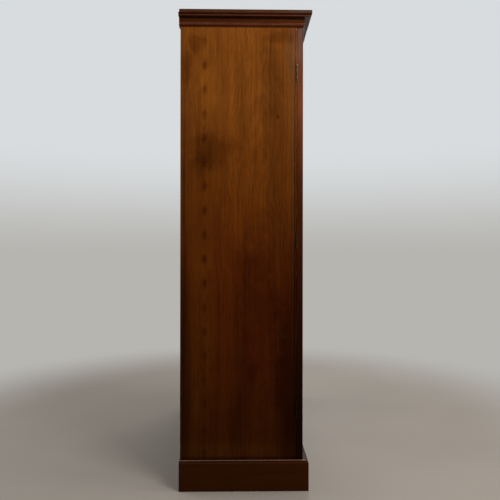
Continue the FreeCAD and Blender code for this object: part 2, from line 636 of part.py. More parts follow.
blocks = []
blockDepths = [
    (f"{doorFront} - ({plinthIn})", f"{doorFront} - ({plinthIn}) + dim.blockWide"),
    (f"{plinthBackDepth[0]} - dim.blockWide", plinthBackDepth[0]),
]
blockRise = (f"{capLow} - dim.blockLong", capLow)
corniceRise = (caseTop, "dim.overallHeight - dim.topThick")
corniceSideIn = f"({sideOut} - dim.corniceInner)"
corniceFrontIn = f"({caseFront} + dim.seatWide)"
railDepth = (f"{caseBack} - dim.corniceRailThick", caseBack)
corniceBlockDepths = [
    (corniceFrontIn, f"{corniceFrontIn} + dim.blockWide"),
    (f"{railDepth[0]} - dim.blockWide", railDepth[0]),
]
for side in ("left", "right"):
    plinthSpan = onSide(side, (f"{plinthSideIn} - dim.blockWide", plinthSideIn))
    corniceSpan = onSide(side, (f"{corniceSideIn} - dim.blockWide", corniceSideIn))
    blocks += [block("GlueBlock", plinthSpan, depth, blockRise) for depth in blockDepths]
    blocks += [block("GlueBlock", corniceSpan, depth, corniceRise) for depth in corniceBlockDepths]
middleBlock = ("-dim.blockWide / 2", "dim.blockWide / 2")
blocks += [block("GlueBlock", middleBlock, depth, blockRise) for depth in blockDepths]
subpart("glue_blocks", gather("GlueBlocks", *blocks))

# Cornice and top board
cornice = mouldingSet("Cornice", corniceOutline, caseTop, "-dim.corniceInner", frontSeat,
                      "dim.topOut", "dim.corniceBackOut")
for piece, place in zip(cornice, ("front", "left", "right")):
    subpart(f"cornice_{place}", piece)
subpart("cornice_back", block("CorniceBack", (f"-{corniceSideIn}", corniceSideIn), railDepth, corniceRise))
topHalf = f"({sideOut} + dim.topOut)"
subpart("top_board", block("TopBoard", (f"-{topHalf}", topHalf), (
    f"{doorFront} - dim.topOut", f"{caseBack} + dim.topBackOut"), (
    "dim.overallHeight - dim.topThick", "dim.overallHeight")))

# Left door frame: stiles and rails with an ovolo inside and a rebate for the glass
doorRise = (doorLow, doorHigh)
doorDepth = (doorFront, doorBack)
lipBack = f"({doorFront} + dim.lipThick)"
hangX = f"-({sideOut} - dim.stileWide)"
meetX = f"-({meeting} + dim.stileWide)"
openLow = f"({doorLow} + dim.lowRailWide)"
openHigh = f"({doorHigh} - dim.stileWide)"


def frameOutline(outer, inner, sign, upright):
    """Section of a stile or rail; sign tells which way the inner edge faces."""
    arcStart = f"{inner} - {sign} * dim.ovoloRadius"
    stepY = f"{doorFront} + dim.ovoloStep"
    flatY = f"{stepY} + dim.ovoloRadius"
    rebate = f"{inner} - {sign} * dim.glassRebate"
    turn = "ccw" if (sign > 0) == upright else "cw"
    across = [
        (outer, doorBack),
        (outer, doorFront),
        (arcStart, doorFront),
        (arcStart, stepY, arcStart, flatY, turn),
        (inner, flatY),
        (inner, lipBack),
        (rebate, lipBack),
        (rebate, doorBack),
    ]
    if upright:
        return across
    return [(entry[1], entry[0]) if len(entry) == 2 else (entry[1], entry[0], entry[3], entry[2], entry[4])
            for entry in across]


doorTall = f"{doorHigh} - {doorLow}"
stileBlanks = [
    prism("HangStile", "xy", frameOutline(f"-{sideOut}", hangX, 1, True), doorTall, {"z": doorLow}),
    prism("MeetStile", "xy", frameOutline(f"-{meeting}", meetX, -1, True), doorTall, {"z": doorLow}),
]
railStart = f"({hangX} - dim.glassRebate)"
railRun = f"{meetX} + dim.glassRebate - {railStart}"
railBlanks = [
    prism("TopRail", "yz", frameOutline(doorHigh, openHigh, -1, False), railRun, {"x": railStart}),
    prism("LowRail", "yz", frameOutline(doorLow, openLow, 1, False), railRun, {"x": railStart}),
]
tenonDepth = (f"{doorFront} + dim.tenonSetBack", f"{doorFront} + dim.tenonSetBack + dim.tenonThick")
tenonRises = [
    (f"{openHigh} + dim.glassRebate", f"{doorHigh} - dim.haunch"),
    (f"{doorLow} + dim.haunch", f"{openLow} - dim.glassRebate"),
]
tenons = []
for rise in tenonRises:
    tenons.append([
        block("HangTenon", (f"{hangX} - dim.tenonLong", f"{hangX} + dim.overrun"), tenonDepth, rise),
        block("MeetTenon", (f"{meetX} - dim.overrun", f"{meetX} + dim.tenonLong"), tenonDepth, rise),
    ])
rails = [fuse("Rail", cut("RailCoped", blank, *stileBlanks), *pair) for blank, pair in zip(railBlanks, tenons)]
hangStile = cut("HangStileCut", stileBlanks[0], *(pair[0] for pair in tenons), *hingeRecesses["door"], *doorScrews)
meetStile = cut("MeetStileCut", stileBlanks[1], *(pair[1] for pair in tenons))

# Glazing bars: uprights share the width evenly and cross bars lie in front of the shelves
barDepth = (f"{lipBack} - dim.barBase", lipBack)
noseY = f"{lipBack} - dim.barNoseRadius"
barSpan = (f"{hangX} - dim.ovoloRadius", f"{meetX} + dim.ovoloRadius")
barRise = (f"{openLow} - dim.ovoloRadius", f"{openHigh} + dim.ovoloRadius")
barPieces = []
for column in range(1, doorColumns):
    x = f"({hangX} + {column} * ({meetX} - {hangX}) / {doorColumns})"
    barPieces.append(block("BarBase", (f"{x} - dim.barWide / 2", f"{x} + dim.barWide / 2"), barDepth, barRise))
    barPieces.append(rod("BarNose", "z", "dim.barNoseRadius", x=x, y=noseY, z=barRise))
for height in shelfHeights:
    z = f"({height} + {pegTop} + dim.shelfThick / 2)"
    barPieces.append(block("BarBase", barSpan, barDepth, (f"{z} - dim.barWide / 2", f"{z} + dim.barWide / 2")))
    barPieces.append(rod("BarNose", "x", "dim.barNoseRadius", x=barSpan, y=noseY, z=z))
bars = cut("GlazingBars", fuse("BarGrid", *barPieces), *stileBlanks, *railBlanks)

# Glass and the strips that hold it
glassWide = (f"{hangX} - dim.glassRebate + dim.glassRoom", f"{meetX} + dim.glassRebate - dim.glassRoom")
glassTall = (f"{openLow} - dim.glassRebate + dim.glassRoom", f"{openHigh} + dim.glassRebate - dim.glassRoom")
glassBack = f"({lipBack} + dim.glassThick)"
glass = block("Glass", glassWide, (lipBack, glassBack), glassTall)
stripDepth = (glassBack, f"{doorBack} - dim.stripBack")
stripTall = (f"{openLow} - dim.glassRebate", f"{openHigh} + dim.glassRebate")
strips = [
    block("StripHang", (f"{hangX} - dim.glassRebate", hangX), stripDepth, stripTall),
    block("StripMeet", (meetX, f"{meetX} + dim.glassRebate"), stripDepth, stripTall),
    block("StripLow", (hangX, meetX), stripDepth, (f"{openLow} - dim.glassRebate", openLow)),
    block("StripHigh", (hangX, meetX), stripDepth, (openHigh, f"{openHigh} + dim.glassRebate")),
]
stripSet = gather("Strips", *strips)

# Barrel bolts on the left door's meeting stile and their keeps in the case boards
boltX = f"(-{meeting} - dim.stileWide / 2)"
boltY = f"({doorBack} + dim.boltAxisBack)"


def upOrDown(board, sign, near, far):
    """A span in Z measured from a case board into the cabinet."""
    ends = (f"{board} + {sign} * ({near})", f"{board} + {sign} * ({far})")
    return ends if sign > 0 else ends[::-1]


def barrelBolt(board, sign):
    """One bolt: plate and barrel with a slot, and the rod with its knob."""
    barrelRise = upOrDown(board, sign, "dim.boltCaseClear", "dim.boltCaseClear + dim.boltCaseLong")
    knobAt = "(dim.boltCaseClear + dim.boltTravel + dim.knobFromEnd)"
    knobWall = "(dim.knobRadius + dim.knobRoom)"
    slotRise = upOrDown(board, sign, f"{knobAt} - dim.boltTravel - {knobWall}", f"{knobAt} + {knobWall}")
    boreRise = upOrDown(board, sign, "dim.boltCaseClear - dim.overrun",
                        "dim.boltCaseClear + dim.boltCaseLong + dim.overrun")
    rodRise = upOrDown(board, sign, "dim.boltClear", "dim.boltClear + dim.boltLong")
    barrelBack = f"({doorBack} + dim.boltCaseDeep)"
    plateHalf = "dim.boltPlateWide / 2"
    barrelHalf = "dim.boltCaseWide / 2"
    plate = block("BoltPlate", (f"{boltX} - {plateHalf}", f"{boltX} + {plateHalf}"),
                  (doorBack, f"{doorBack} + dim.boltPlateThick"), barrelRise)
    barrel = block("BoltBarrel", (f"{boltX} - {barrelHalf}", f"{boltX} + {barrelHalf}"),
                   (doorBack, barrelBack), barrelRise)
    bore = rod("BoltBore", "z", "dim.boltRadius + dim.boltFit", x=boltX, y=boltY, z=boreRise)
    slot = block("KnobSlot", (f"{boltX} - {knobWall}", f"{boltX} + {knobWall}"),
                 (boltY, f"{barrelBack} + dim.overrun"), slotRise)
    case = cut("BoltCase", fuse("BoltCaseBlank", plate, barrel), bore, slot)
    shank = rod("BoltRod", "z", "dim.boltRadius", x=boltX, y=boltY, z=rodRise)
    knob = rod("BoltKnob", "y", "dim.knobRadius", x=boltX, y=(boltY, f"{barrelBack} + dim.knobStandOut"),
               z=f"{board} + {sign} * {knobAt}")
    keepHole = rod("KeepHole", "z", "dim.boltRadius + dim.keepRoom", x=boltX, y=boltY,
                   z=upOrDown(board, sign, "-dim.keepHoleDeep", "dim.overrun"))
    keepBlank = block("KeepBlank", (f"{boltX} - dim.keepWide / 2", f"{boltX} + dim.keepWide / 2"),
                      (caseFront, f"{caseFront} + dim.keepDeep"), upOrDown(board, sign, "-dim.keepThick", "0"))
    return case, fuse("Bolt", shank, knob), keepHole, keepBlank


lowCase, lowBolt, lowHole, lowKeep = barrelBolt(boardLow, 1)
highCase, highBolt, highHole, highKeep = barrelBolt(boardHigh, -1)
subpart("carcass_bottom", cut("CarcassBottom", caseBottomBoard, lowHole, lowKeep))
subpart("carcass_top", cut("CarcassTop", caseTopBoard, highHole, highKeep))
subpart("bolt_keeps", gather("BoltKeeps", cut("LowKeepPlate", lowKeep, lowHole),
                             cut("HighKeepPlate", highKeep, highHole)))

# Lock, key and escutcheon on the right door
keyX = f"({meeting} + dim.lockFromEdge)"
keyZ = "dim.lockHeight"
lockFront = f"({doorBack} - dim.lockDeep)"
lockSpan = (f"{meeting} + dim.lockEdge", f"{meeting} + dim.lockEdge + dim.lockWide")
lockRise = (f"{keyZ} - dim.lockBelow", f"{keyZ} + dim.lockAbove")
capBack = f"({doorBack} - dim.lockWall)"


def grown(span, margin):
    """A span made longer at both ends."""
    return (f"{span[0]} - ({margin})", f"{span[1]} + {margin}")


lockOuter = block("LockOuter", lockSpan, (lockFront, capBack), lockRise)
lockInner = block("LockInner", grown(lockSpan, "-dim.lockWall"),
                  (f"{lockFront} + dim.lockWall", f"{capBack} + dim.overrun"), grown(lockRise, "-dim.lockWall"))
lockCap = block("LockCap", grown(lockSpan, "dim.capMargin - dim.lockWall"), (capBack, doorBack),
                grown(lockRise, "dim.capMargin"))
boltMiddle = f"(({lockFront} + {capBack} + dim.lockWall) / 2)"
boltSpan = (f"{meeting} + dim.boltSink", f"{meeting} + dim.boltSink + dim.boltShank")
boltDepth = (f"{boltMiddle} - dim.boltThick / 2", f"{boltMiddle} + dim.boltThick / 2")
boltRise = (f"{keyZ} + dim.boltAbove", f"{keyZ} + dim.boltAbove + dim.boltTall")
lockBolt = block("LockBolt", boltSpan, boltDepth, boltRise)
boltSlot = block("LockBoltSlot", (f"{meeting} - dim.overrun", f"{lockSpan[0]} + dim.lockWall"),
                 grown(boltDepth, "dim.boltSlip"), grown(boltRise, "dim.boltSlip"))
keyPath = (f"{doorFront} - dim.overrun", f"{lockFront} + dim.lockWall")
keyHole = rod("KeyHole", "y", "dim.keyRadius + dim.keyRoom", x=keyX, y=keyPath, z=keyZ)
bitSlot = block("BitSlot", (f"{keyX} - dim.slotWide / 2", f"{keyX} + dim.slotWide / 2"), keyPath,
                (f"{keyZ} - dim.keyBitReach - dim.keyRoom", keyZ))
rightMeetStile = cut("RightMeetStile", mirror("MeetStileMirror", meetStile), lockOuter, lockCap, boltSlot,
                     keyHole, bitSlot)

plateEnd = "(dim.plateTall / 2 - dim.plateRadius)"
plateMiddle = f"({keyZ} - dim.keyBitReach / 2)"
plateDepth = (f"{doorFront} - dim.plateThick", doorFront)
plateBlank = fuse(
    "PlateBlank",
    rod("PlateLow", "y", "dim.plateRadius", x=keyX, y=plateDepth, z=f"{plateMiddle} - {plateEnd}"),
    rod("PlateHigh", "y", "dim.plateRadius", x=keyX, y=plateDepth, z=f"{plateMiddle} + {plateEnd}"),
    block("PlateWaist", (f"{keyX} - dim.plateRadius", f"{keyX} + dim.plateRadius"), plateDepth,
          (f"{plateMiddle} - {plateEnd}", f"{plateMiddle} + {plateEnd}")),
)
bitDepth = (f"{lockFront} + dim.lockWall + dim.keyBitRoom", f"{capBack} - dim.keyBitRoom")
bow = doc.addObject("Part::Torus", "KeyBow")
bow.Placement = FreeCAD.Placement(FreeCAD.Vector(), turns["x"])
bow.setExpression("Radius1", "dim.bowRadius")
bow.setExpression("Radius2", "dim.bowWire")
for axis, place in zip("xyz", (keyX, f"{doorFront} - dim.keyOut - dim.bowRadius", keyZ)):
    bow.setExpression(f"Placement.Base.{axis}", f"{place}")
key = fuse(
    "KeyWhole",
    bow,
    rod("KeyShank", "y", "dim.keyRadius", x=keyX, y=(f"{doorFront} - dim.keyOut", bitDepth[1]), z=keyZ),
    block("KeyBit", (f"{keyX} - dim.keyBitThick / 2", f"{keyX} + dim.keyBitThick / 2"), bitDepth,
          (f"{keyZ} - dim.keyBitReach", keyZ)),
)

# Strike plate in the edge of the left door, with a mortise behind it
strikeMiddle = f"({keyZ} + dim.boltAbove + dim.boltTall / 2)"
strikeSpan = (f"-{meeting} - dim.keepThick", f"-{meeting}")
strikeBlank = block("StrikeBlank", strikeSpan,
                    (f"{boltMiddle} - dim.strikeWide / 2", f"{boltMiddle} + dim.strikeWide / 2"),
                    (f"{strikeMiddle} - dim.strikeTall / 2", f"{strikeMiddle} + dim.strikeTall / 2"))
strikeSlot = block("StrikeSlot", (f"-{meeting} - dim.strikeDeep", f"-{meeting} + dim.overrun"),
                   grown(boltDepth, "2 * dim.boltSlip"), grown(boltRise, "2 * dim.boltSlip"))
leftMeetStile = cut("LeftMeetStile", meetStile, strikeBlank, strikeSlot)

# The pieces of both doors; the right door mirrors the left
doorPieces = {
    "hinge_stile": hangStile,
    "top_rail": rails[0],
    "bottom_rail": rails[1],
    "glazing_bars": bars,
    "glass": glass,
    "glass_strips": stripSet,
}
for node, piece in doorPieces.items():
    subpart(f"door_left_{node}", piece)
    subpart(f"door_right_{node}", mirror(f"Right_{node}", piece))
subpart("door_left_meeting_stile", leftMeetStile)
subpart("door_right_meeting_stile", rightMeetStile)

hingeSets = {
    "hinge_jamb_leaves": jambLeaves,
    "hinge_pins": pins,
    "hinge_screws_case": jambScrews,
}
for node, solids in hingeSets.items():
    half = gather(f"{node}_half", *solids)
    subpart(node, gather(f"{node}_all", half, mirror(f"{node}_mirror", half)))
leftLeaves = gather("LeftDoorLeaves", *doorLeaves)
leftScrews = gather("LeftDoorScrews", *doorScrews)
subpart("door_left_hinge_leaves", leftLeaves)
subpart("door_right_hinge_leaves", mirror("RightDoorLeaves", leftLeaves))
subpart("hinge_screws_left_door", leftScrews)
subpart("hinge_screws_right_door", mirror("RightDoorScrews", leftScrews))

subpart("bolt_cases", gather("BoltCases", lowCase, highCase))
subpart("bottom_bolt", lowBolt)
subpart("top_bolt", highBolt)
subpart("strike_plate", cut("StrikePlate", strikeBlank, strikeSlot))
subpart("lock_case", cut("LockCase", lockOuter, lockInner, boltSlot, keyHole, bitSlot))
subpart("lock_cap", lockCap)
subpart("lock_bolt", lockBolt)
subpart("key", key)
subpart("escutcheon", cut("Escutcheon", plateBlank, keyHole, bitSlot))

doc.recompute()
faults = [item.Label for item in doc.Objects if {"Invalid", "Error"} & set(item.State)]
if faults:
    raise RuntimeError(f"these pieces failed: {faults}")
for item in subparts:
    if item.Shape.isNull() or not item.Shape.isValid():
        raise RuntimeError(f"{item.Label} has no valid shape")

os.makedirs("parts", exist_ok=True)
for item in subparts:
    item.Shape.exportStep(f"parts/{item.Label}.step")
print(len(subparts), "sub-parts written")
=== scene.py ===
import bpy
import math
from mathutils import Matrix, Vector


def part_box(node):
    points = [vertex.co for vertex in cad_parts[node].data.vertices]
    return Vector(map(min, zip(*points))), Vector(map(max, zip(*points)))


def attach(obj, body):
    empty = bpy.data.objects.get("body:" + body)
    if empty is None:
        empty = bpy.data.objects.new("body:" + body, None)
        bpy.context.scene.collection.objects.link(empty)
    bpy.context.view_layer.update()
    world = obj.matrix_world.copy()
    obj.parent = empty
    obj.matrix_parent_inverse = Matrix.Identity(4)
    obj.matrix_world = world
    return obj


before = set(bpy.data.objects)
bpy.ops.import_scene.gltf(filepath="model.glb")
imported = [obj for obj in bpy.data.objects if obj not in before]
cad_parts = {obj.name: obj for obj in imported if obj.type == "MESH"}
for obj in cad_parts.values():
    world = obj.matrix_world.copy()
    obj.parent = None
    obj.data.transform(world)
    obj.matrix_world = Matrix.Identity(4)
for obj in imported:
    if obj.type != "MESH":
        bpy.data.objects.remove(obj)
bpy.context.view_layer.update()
print("frame loaded:", len(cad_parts), "nodes")

# the cabinet's own planes, in metres, read off the frame
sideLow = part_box("side_panel_left")[0]
sideX, caseFront = sideLow.x, sideLow.y
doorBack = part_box("door_left_hinge_stile")[1].y


# small helpers for node trees

def addNode(tree, kind, **settings):
    made = tree.nodes.new(kind)
    for key, value in settings.items():
        setattr(made, key, value)
    return made


def link(tree, source, target):
    tree.links.new(source, target)


# gives a socket a number, a colour, a vector or another node's output
def feed(tree, socket, value):
    if isinstance(value, (int, float)):
        socket.default_value = value
    elif isinstance(value, tuple):
        socket.default_value = (*value, 1.0) if socket.type == "RGBA" else value
    else:
        link(tree, value, socket)


def maths(tree, operation, first, second=None, clamp=False):
    made = addNode(tree, "ShaderNodeMath", operation=operation, use_clamp=clamp)
    feed(tree, made.inputs[0], first)
    if second is not None:
        feed(tree, made.inputs[1], second)
    return made.outputs[0]


def vectorMaths(tree, operation, first, second=None):
    made = addNode(tree, "ShaderNodeVectorMath", operation=operation)
    feed(tree, made.inputs[0], first)
    if second is not None:
        feed(tree, made.inputs[1], second)
    return made.outputs["Value" if operation in ("LENGTH", "DOT_PRODUCT") else "Vector"]


def axesOf(tree, vector):
    made = addNode(tree, "ShaderNodeSeparateXYZ")
    link(tree, vector, made.inputs[0])
    return made.outputs


def vectorOf(tree, **axes):
    made = addNode(tree, "ShaderNodeCombineXYZ")
    for axis, value in axes.items():
        feed(tree, made.inputs[axis], value)
    return made.outputs[0]


def objectPlace(tree):
    return addNode(tree, "ShaderNodeTexCoord").outputs["Object"]


def noise(tree, vector, detail, roughness=0.55, scale=1.0):
    made = addNode(tree, "ShaderNodeTexNoise")
    link(tree, vector, made.inputs["Vector"])
    for name, number in (("Scale", scale), ("Detail", detail), ("Roughness", roughness)):
        made.inputs[name].default_value = number
    return made.outputs["Fac"]


def spread(tree, value, low, high, toLow=0.0, toHigh=1.0, smooth=True):
    made = addNode(tree, "ShaderNodeMapRange", interpolation_type="SMOOTHSTEP" if smooth else "LINEAR")
    link(tree, value, made.inputs["Value"])
    for name, number in (("From Min", low), ("From Max", high), ("To Min", toLow), ("To Max", toHigh)):
        made.inputs[name].default_value = number
    return made.outputs["Result"]


def mixColor(tree, factor, first, second, blend="MIX"):
    made = addNode(tree, "ShaderNodeMix", data_type="RGBA", blend_type=blend)
    for socket, value in ((made.inputs["Factor"], factor), (made.inputs[6], first), (made.inputs[7], second)):
        feed(tree, socket, value)
    return made.outputs[2]


def tinted(tree, color, tint):
    return mixColor(tree, 1.0, color, tint, "MULTIPLY")


def ramp(tree, value, stops):
    made = addNode(tree, "ShaderNodeValToRGB")
    link(tree, value, made.inputs["Fac"])
    band = made.color_ramp
    while len(band.elements) < len(stops):
        band.elements.new(0.5)
    for element, (place, color) in zip(band.elements, stops):
        element.position = place
        element.color = (*color, 1.0)
    return made.outputs["Color"]


def bumped(tree, height, strength, distance, normal=None):
    made = addNode(tree, "ShaderNodeBump")
    made.inputs["Strength"].default_value = strength
    made.inputs["Distance"].default_value = distance
    link(tree, height, made.inputs["Height"])
    if normal is not None:
        link(tree, normal, made.inputs["Normal"])
    return made.outputs[0]


def mixShaders(tree, factor, first, second):
    made = addNode(tree, "ShaderNodeMixShader")
    for socket, value in zip(made.inputs, (factor, first, second)):
        link(tree, value, socket)
    return made.outputs[0]


def newGroup(name, ins, outs):
    group = bpy.data.node_groups.new(name, "ShaderNodeTree")
    for direction, sockets in (("INPUT", ins), ("OUTPUT", outs)):
        for label, kind in sockets.items():
            group.interface.new_socket(label, in_out=direction, socket_type=f"NodeSocket{kind}")
    return group, addNode(group, "NodeGroupInput").outputs, addNode(group, "NodeGroupOutput").inputs


def useGroup(tree, group, **values):
    made = addNode(tree, "ShaderNodeGroup", node_tree=group)
    for name, value in values.items():
        feed(tree, made.inputs[name], value)
    return made.outputs


def newMaterial(name):
    made = bpy.data.materials.new(name)
    made.use_nodes = True
    tree = made.node_tree
    tree.nodes.clear()
    shader = addNode(tree, "ShaderNodeBsdfPrincipled")
    out = addNode(tree, "ShaderNodeOutputMaterial")
    link(tree, shader.outputs[0], out.inputs["Surface"])
    return made, tree, shader.inputs


# the Principled shader's output, and the surface that it feeds
def shaderEnds(tree):
    shader = next(node for node in tree.nodes if node.type == "BSDF_PRINCIPLED")
    out = next(node for node in tree.nodes if node.type == "OUTPUT_MATERIAL")
    return shader.outputs[0], out.inputs["Surface"]


# grain, stains, edge wear and dust: groups that the finishes share

# each layer: stretch along and across the board, noise detail and roughness, contrast, share of the whole
grainLayers = {
    "bands": ((0.7, 15.0, 15.0), 4.0, 0.60, (0.30, 0.70), 0.26),
    "streaks": ((1.3, 110.0, 110.0), 3.0, 0.60, (0.28, 0.72), 0.24),
    "lines": ((3.0, 330.0, 330.0), 2.0, 0.60, (0.25, 0.75), 0.13),
    "ribbon": ((12.0, 24.0, 24.0), 2.0, 0.50, (0.32, 0.68), 0.12),
    "flecks": ((26.0, 190.0, 190.0), 2.0, 0.55, (0.34, 0.66), 0.11),
}
lineRelief = 0.4  # how far the fine lines stand up against the pores
grainPores = {
    "noise": {"stretch": (45.0, 1500.0, 1500.0), "detail": 1.0, "roughness": 0.5},
    "contrast": (0.60, 0.72),
    "color": (0.012, 0.004, 0.001),
}
grainWander = {"noise": {"stretch": (1.7, 5.0, 5.0), "detail": 2.0}, "sideways": 0.05, "inward": -0.04}
# growth rings round a heart that leans a little from the board, so they show as long arches on its face
growthRings = {
    "wide": 0.0024,
    "lean": 0.019,
    "wander": 0.015,
    "swirl": {"stretch": (2.2, 7.0, 7.0), "detail": 3.0, "roughness": 0.5},
    "patches": {"stretch": (1.6, 12.0, 12.0), "detail": 3.0, "roughness": 0.6},
    "clear": (0.35, 0.65, 0.08, 0.5),  # where the patches start and end, and how clear the rings are there
    "share": 0.14,
}


def buildGrainGroup():
    group, given, wanted = newGroup(
        "mahoganyGrain",
        {"Along": "Vector", "Pale": "Color", "Dark": "Color", "Pore": "Float"},
        {"Color": "Color", "Relief": "Float"})

    def stretchedNoise(vector, stretch, **fineness):
        return noise(group, vectorMaths(group, "MULTIPLY", vector, stretch), **fineness)

    wander = stretchedNoise(given["Along"], **grainWander["noise"])
    bend = vectorOf(group, Y=maths(group, "MULTIPLY", wander, grainWander["sideways"]),
                    Z=maths(group, "MULTIPLY", wander, grainWander["inward"]))
    along = vectorMaths(group, "ADD", given["Along"], bend)
    layers, shares = {}, []
    for name, (stretch, detail, roughness, contrast, share) in grainLayers.items():
        figure = stretchedNoise(along, stretch, detail=detail, roughness=roughness)
        layers[name] = spread(group, figure, *contrast)
        shares.append((layers[name], share))
    pores = spread(group, stretchedNoise(along, **grainPores["noise"]), *grainPores["contrast"])

    parts = axesOf(group, along)
    squares = [maths(group, "MULTIPLY", parts[name], parts[name]) for name in ("Y", "Z")]
    reach = maths(group, "ADD", maths(group, "SQRT", maths(group, "ADD", *squares)),
                  maths(group, "MULTIPLY", parts["X"], growthRings["lean"]))
    swirl = stretchedNoise(along, **growthRings["swirl"])
    reach = maths(group, "ADD", reach, maths(group, "MULTIPLY", swirl, growthRings["wander"]))
    rings = maths(group, "SINE", maths(group, "MULTIPLY", reach, 2 * math.pi / growthRings["wide"]))
    clear = spread(group, stretchedNoise(along, **growthRings["patches"]), *growthRings["clear"])
    rings = maths(group, "ADD", maths(group, "MULTIPLY", rings, clear), 0.5)
    shares.append((rings, growthRings["share"]))

    total = maths(group, "MULTIPLY", *shares[0])
    for value, share in shares[1:]:
        total = maths(group, "ADD", total, maths(group, "MULTIPLY", value, share))
    color = mixColor(group, total, given["Dark"], given["Pale"])
    poreDepth = maths(group, "MULTIPLY", pores, given["Pore"])
    raised = maths(group, "MULTIPLY", layers["lines"], lineRelief)
    link(group, mixColor(group, poreDepth, color, grainPores["color"]), wanted["Color"])
    link(group, maths(group, "SUBTRACT", raised, poreDepth), wanted["Relief"])
    return group


stainShape = {
    "fray": {"detail": 4.0, "roughness": 0.6, "scale": 22.0},
    "frayReach": 3.0,
    "edge": (1.15, 0.35),  # clear of the patch, and fully in it, as shares of its size
}


# a soft ragged patch: used for stains, and for painted shade and sheen
def buildStainShadeSheenGroup():
    group, given, wanted = newGroup(
        "stainShadeSheenPatch",
        {"Place": "Vector", "Middle": "Vector", "Size": "Vector", "Ragged": "Float"},
        {"Mask": "Float"})
    away = vectorMaths(group, "SUBTRACT", given["Place"], given["Middle"])
    far = vectorMaths(group, "LENGTH", vectorMaths(group, "DIVIDE", away, given["Size"]))
    frayed = noise(group, given["Place"], **stainShape["fray"])
    edge = maths(group, "MULTIPLY", maths(group, "SUBTRACT", frayed, 0.5), given["Ragged"])
    reach = maths(group, "ADD", far, maths(group, "MULTIPLY", edge, stainShape["frayReach"]))
    link(group, spread(group, reach, *stainShape["edge"]), wanted["Mask"])
    return group


wearShape = {
    "samples": 6,
    "edge": (0.995, 0.86),  # how far the rounded normal leaves the flat one, as their dot product
    "patch": {"detail": 4.0, "roughness": 0.65, "scale": 34.0},
    "patchEdge": (0.36, 0.66),
}


def buildWearGroup():
    group, given, wanted = newGroup(
        "edgeWear",
        {"Place": "Vector", "Width": "Float", "Amount": "Float"},
        {"Mask": "Float", "Normal": "Vector"})
    rounded = addNode(group, "ShaderNodeBevel", samples=wearShape["samples"])
    link(group, given["Width"], rounded.inputs["Radius"])
    flat = addNode(group, "ShaderNodeNewGeometry").outputs["Normal"]
    facing = vectorMaths(group, "DOT_PRODUCT", rounded.outputs[0], flat)
    edge = spread(group, facing, *wearShape["edge"])
    patchy = spread(group, noise(group, given["Place"], **wearShape["patch"]), *wearShape["patchEdge"])
    worn = maths(group, "MULTIPLY", edge, patchy)
    link(group, maths(group, "MULTIPLY", worn, given["Amount"], clamp=True), wanted["Mask"])
    link(group, rounded.outputs[0], wanted["Normal"])
    return group


dustShape = {
    "upward": (0.75, 0.98),
    "drift": {"detail": 5.0, "roughness": 0.7, "scale": 9.0},
    "driftEdge": (0.25, 0.75, 0.45, 1.0),
}


def buildDustGroup():
    group, given, wanted = newGroup("ledgeDust", {"Place": "Vector", "Amount": "Float"}, {"Mask": "Float"})
    flat = addNode(group, "ShaderNodeNewGeometry").outputs["Normal"]
    upward = spread(group, axesOf(group, flat)["Z"], *dustShape["upward"])
    drift = spread(group, noise(group, given["Place"], **dustShape["drift"]), *dustShape["driftEdge"])
    lying = maths(group, "MULTIPLY", upward, drift)
    link(group, maths(group, "MULTIPLY", lying, given["Amount"]), wanted["Mask"])
    return group


# painted shade round the plugs, uneven, fainter low down and high up: from, to, and the shade's strengths
# there
plugShadeShape = {
    "edge": (1.25, 0.1),
    "patch": {"detail": 3.0, "roughness": 0.6, "scale": 14.0},
    "uneven": (0.3, 0.7, 0.70, 1.0),
    "polished": (0.30, 0.95, 0.45, 1.0),  # heights: fainter low down
    "fainterHigh": (1.15, 1.35, 1.0, 0.72),  # heights: fainter high up
}


# painted shade: a soft dark patch round each plug of a row, reaching further below it
def buildPlugShadeGroup():
    group, given, wanted = newGroup(
        "plugShade",
        {"Place": "Vector", "Row": "Float", "First": "Float", "Pitch": "Float", "Count": "Float",
         "Across": "Float", "Along": "Float"},
        {"Mask": "Float"})
    parts = axesOf(group, given["Place"])
    step = maths(group, "DIVIDE", maths(group, "SUBTRACT", parts["Z"], given["First"]), given["Pitch"])
    nearest = maths(group, "MINIMUM", maths(group, "MAXIMUM", maths(group, "ROUND", step), 0.0),
                    maths(group, "SUBTRACT", given["Count"], 1.0))
    up = maths(group, "MULTIPLY", maths(group, "SUBTRACT", step, nearest), given["Pitch"])
    aside = maths(group, "SUBTRACT", parts["Y"], given["Row"])
    away = vectorOf(group, X=maths(group, "DIVIDE", up, given["Along"]),
                    Y=maths(group, "DIVIDE", aside, given["Across"]))
    soft = spread(group, vectorMaths(group, "LENGTH", away), *plugShadeShape["edge"])
    uneven = spread(group, noise(group, given["Place"], **plugShadeShape["patch"]), *plugShadeShape["uneven"])
    fainter = maths(group, "MULTIPLY", spread(group, parts["Z"], *plugShadeShape["polished"]),
                    spread(group, parts["Z"], *plugShadeShape["fainterHigh"]))
    link(group, maths(group, "MULTIPLY", soft, maths(group, "MULTIPLY", uneven, fainter)), wanted["Mask"])
    return group


grainGroup = buildGrainGroup()
plugShadeGroup = buildPlugShadeGroup()
stainGroup = buildStainShadeSheenGroup()
wearGroup = buildWearGroup()
dustGroup = buildDustGroup()
print("shared groups built")
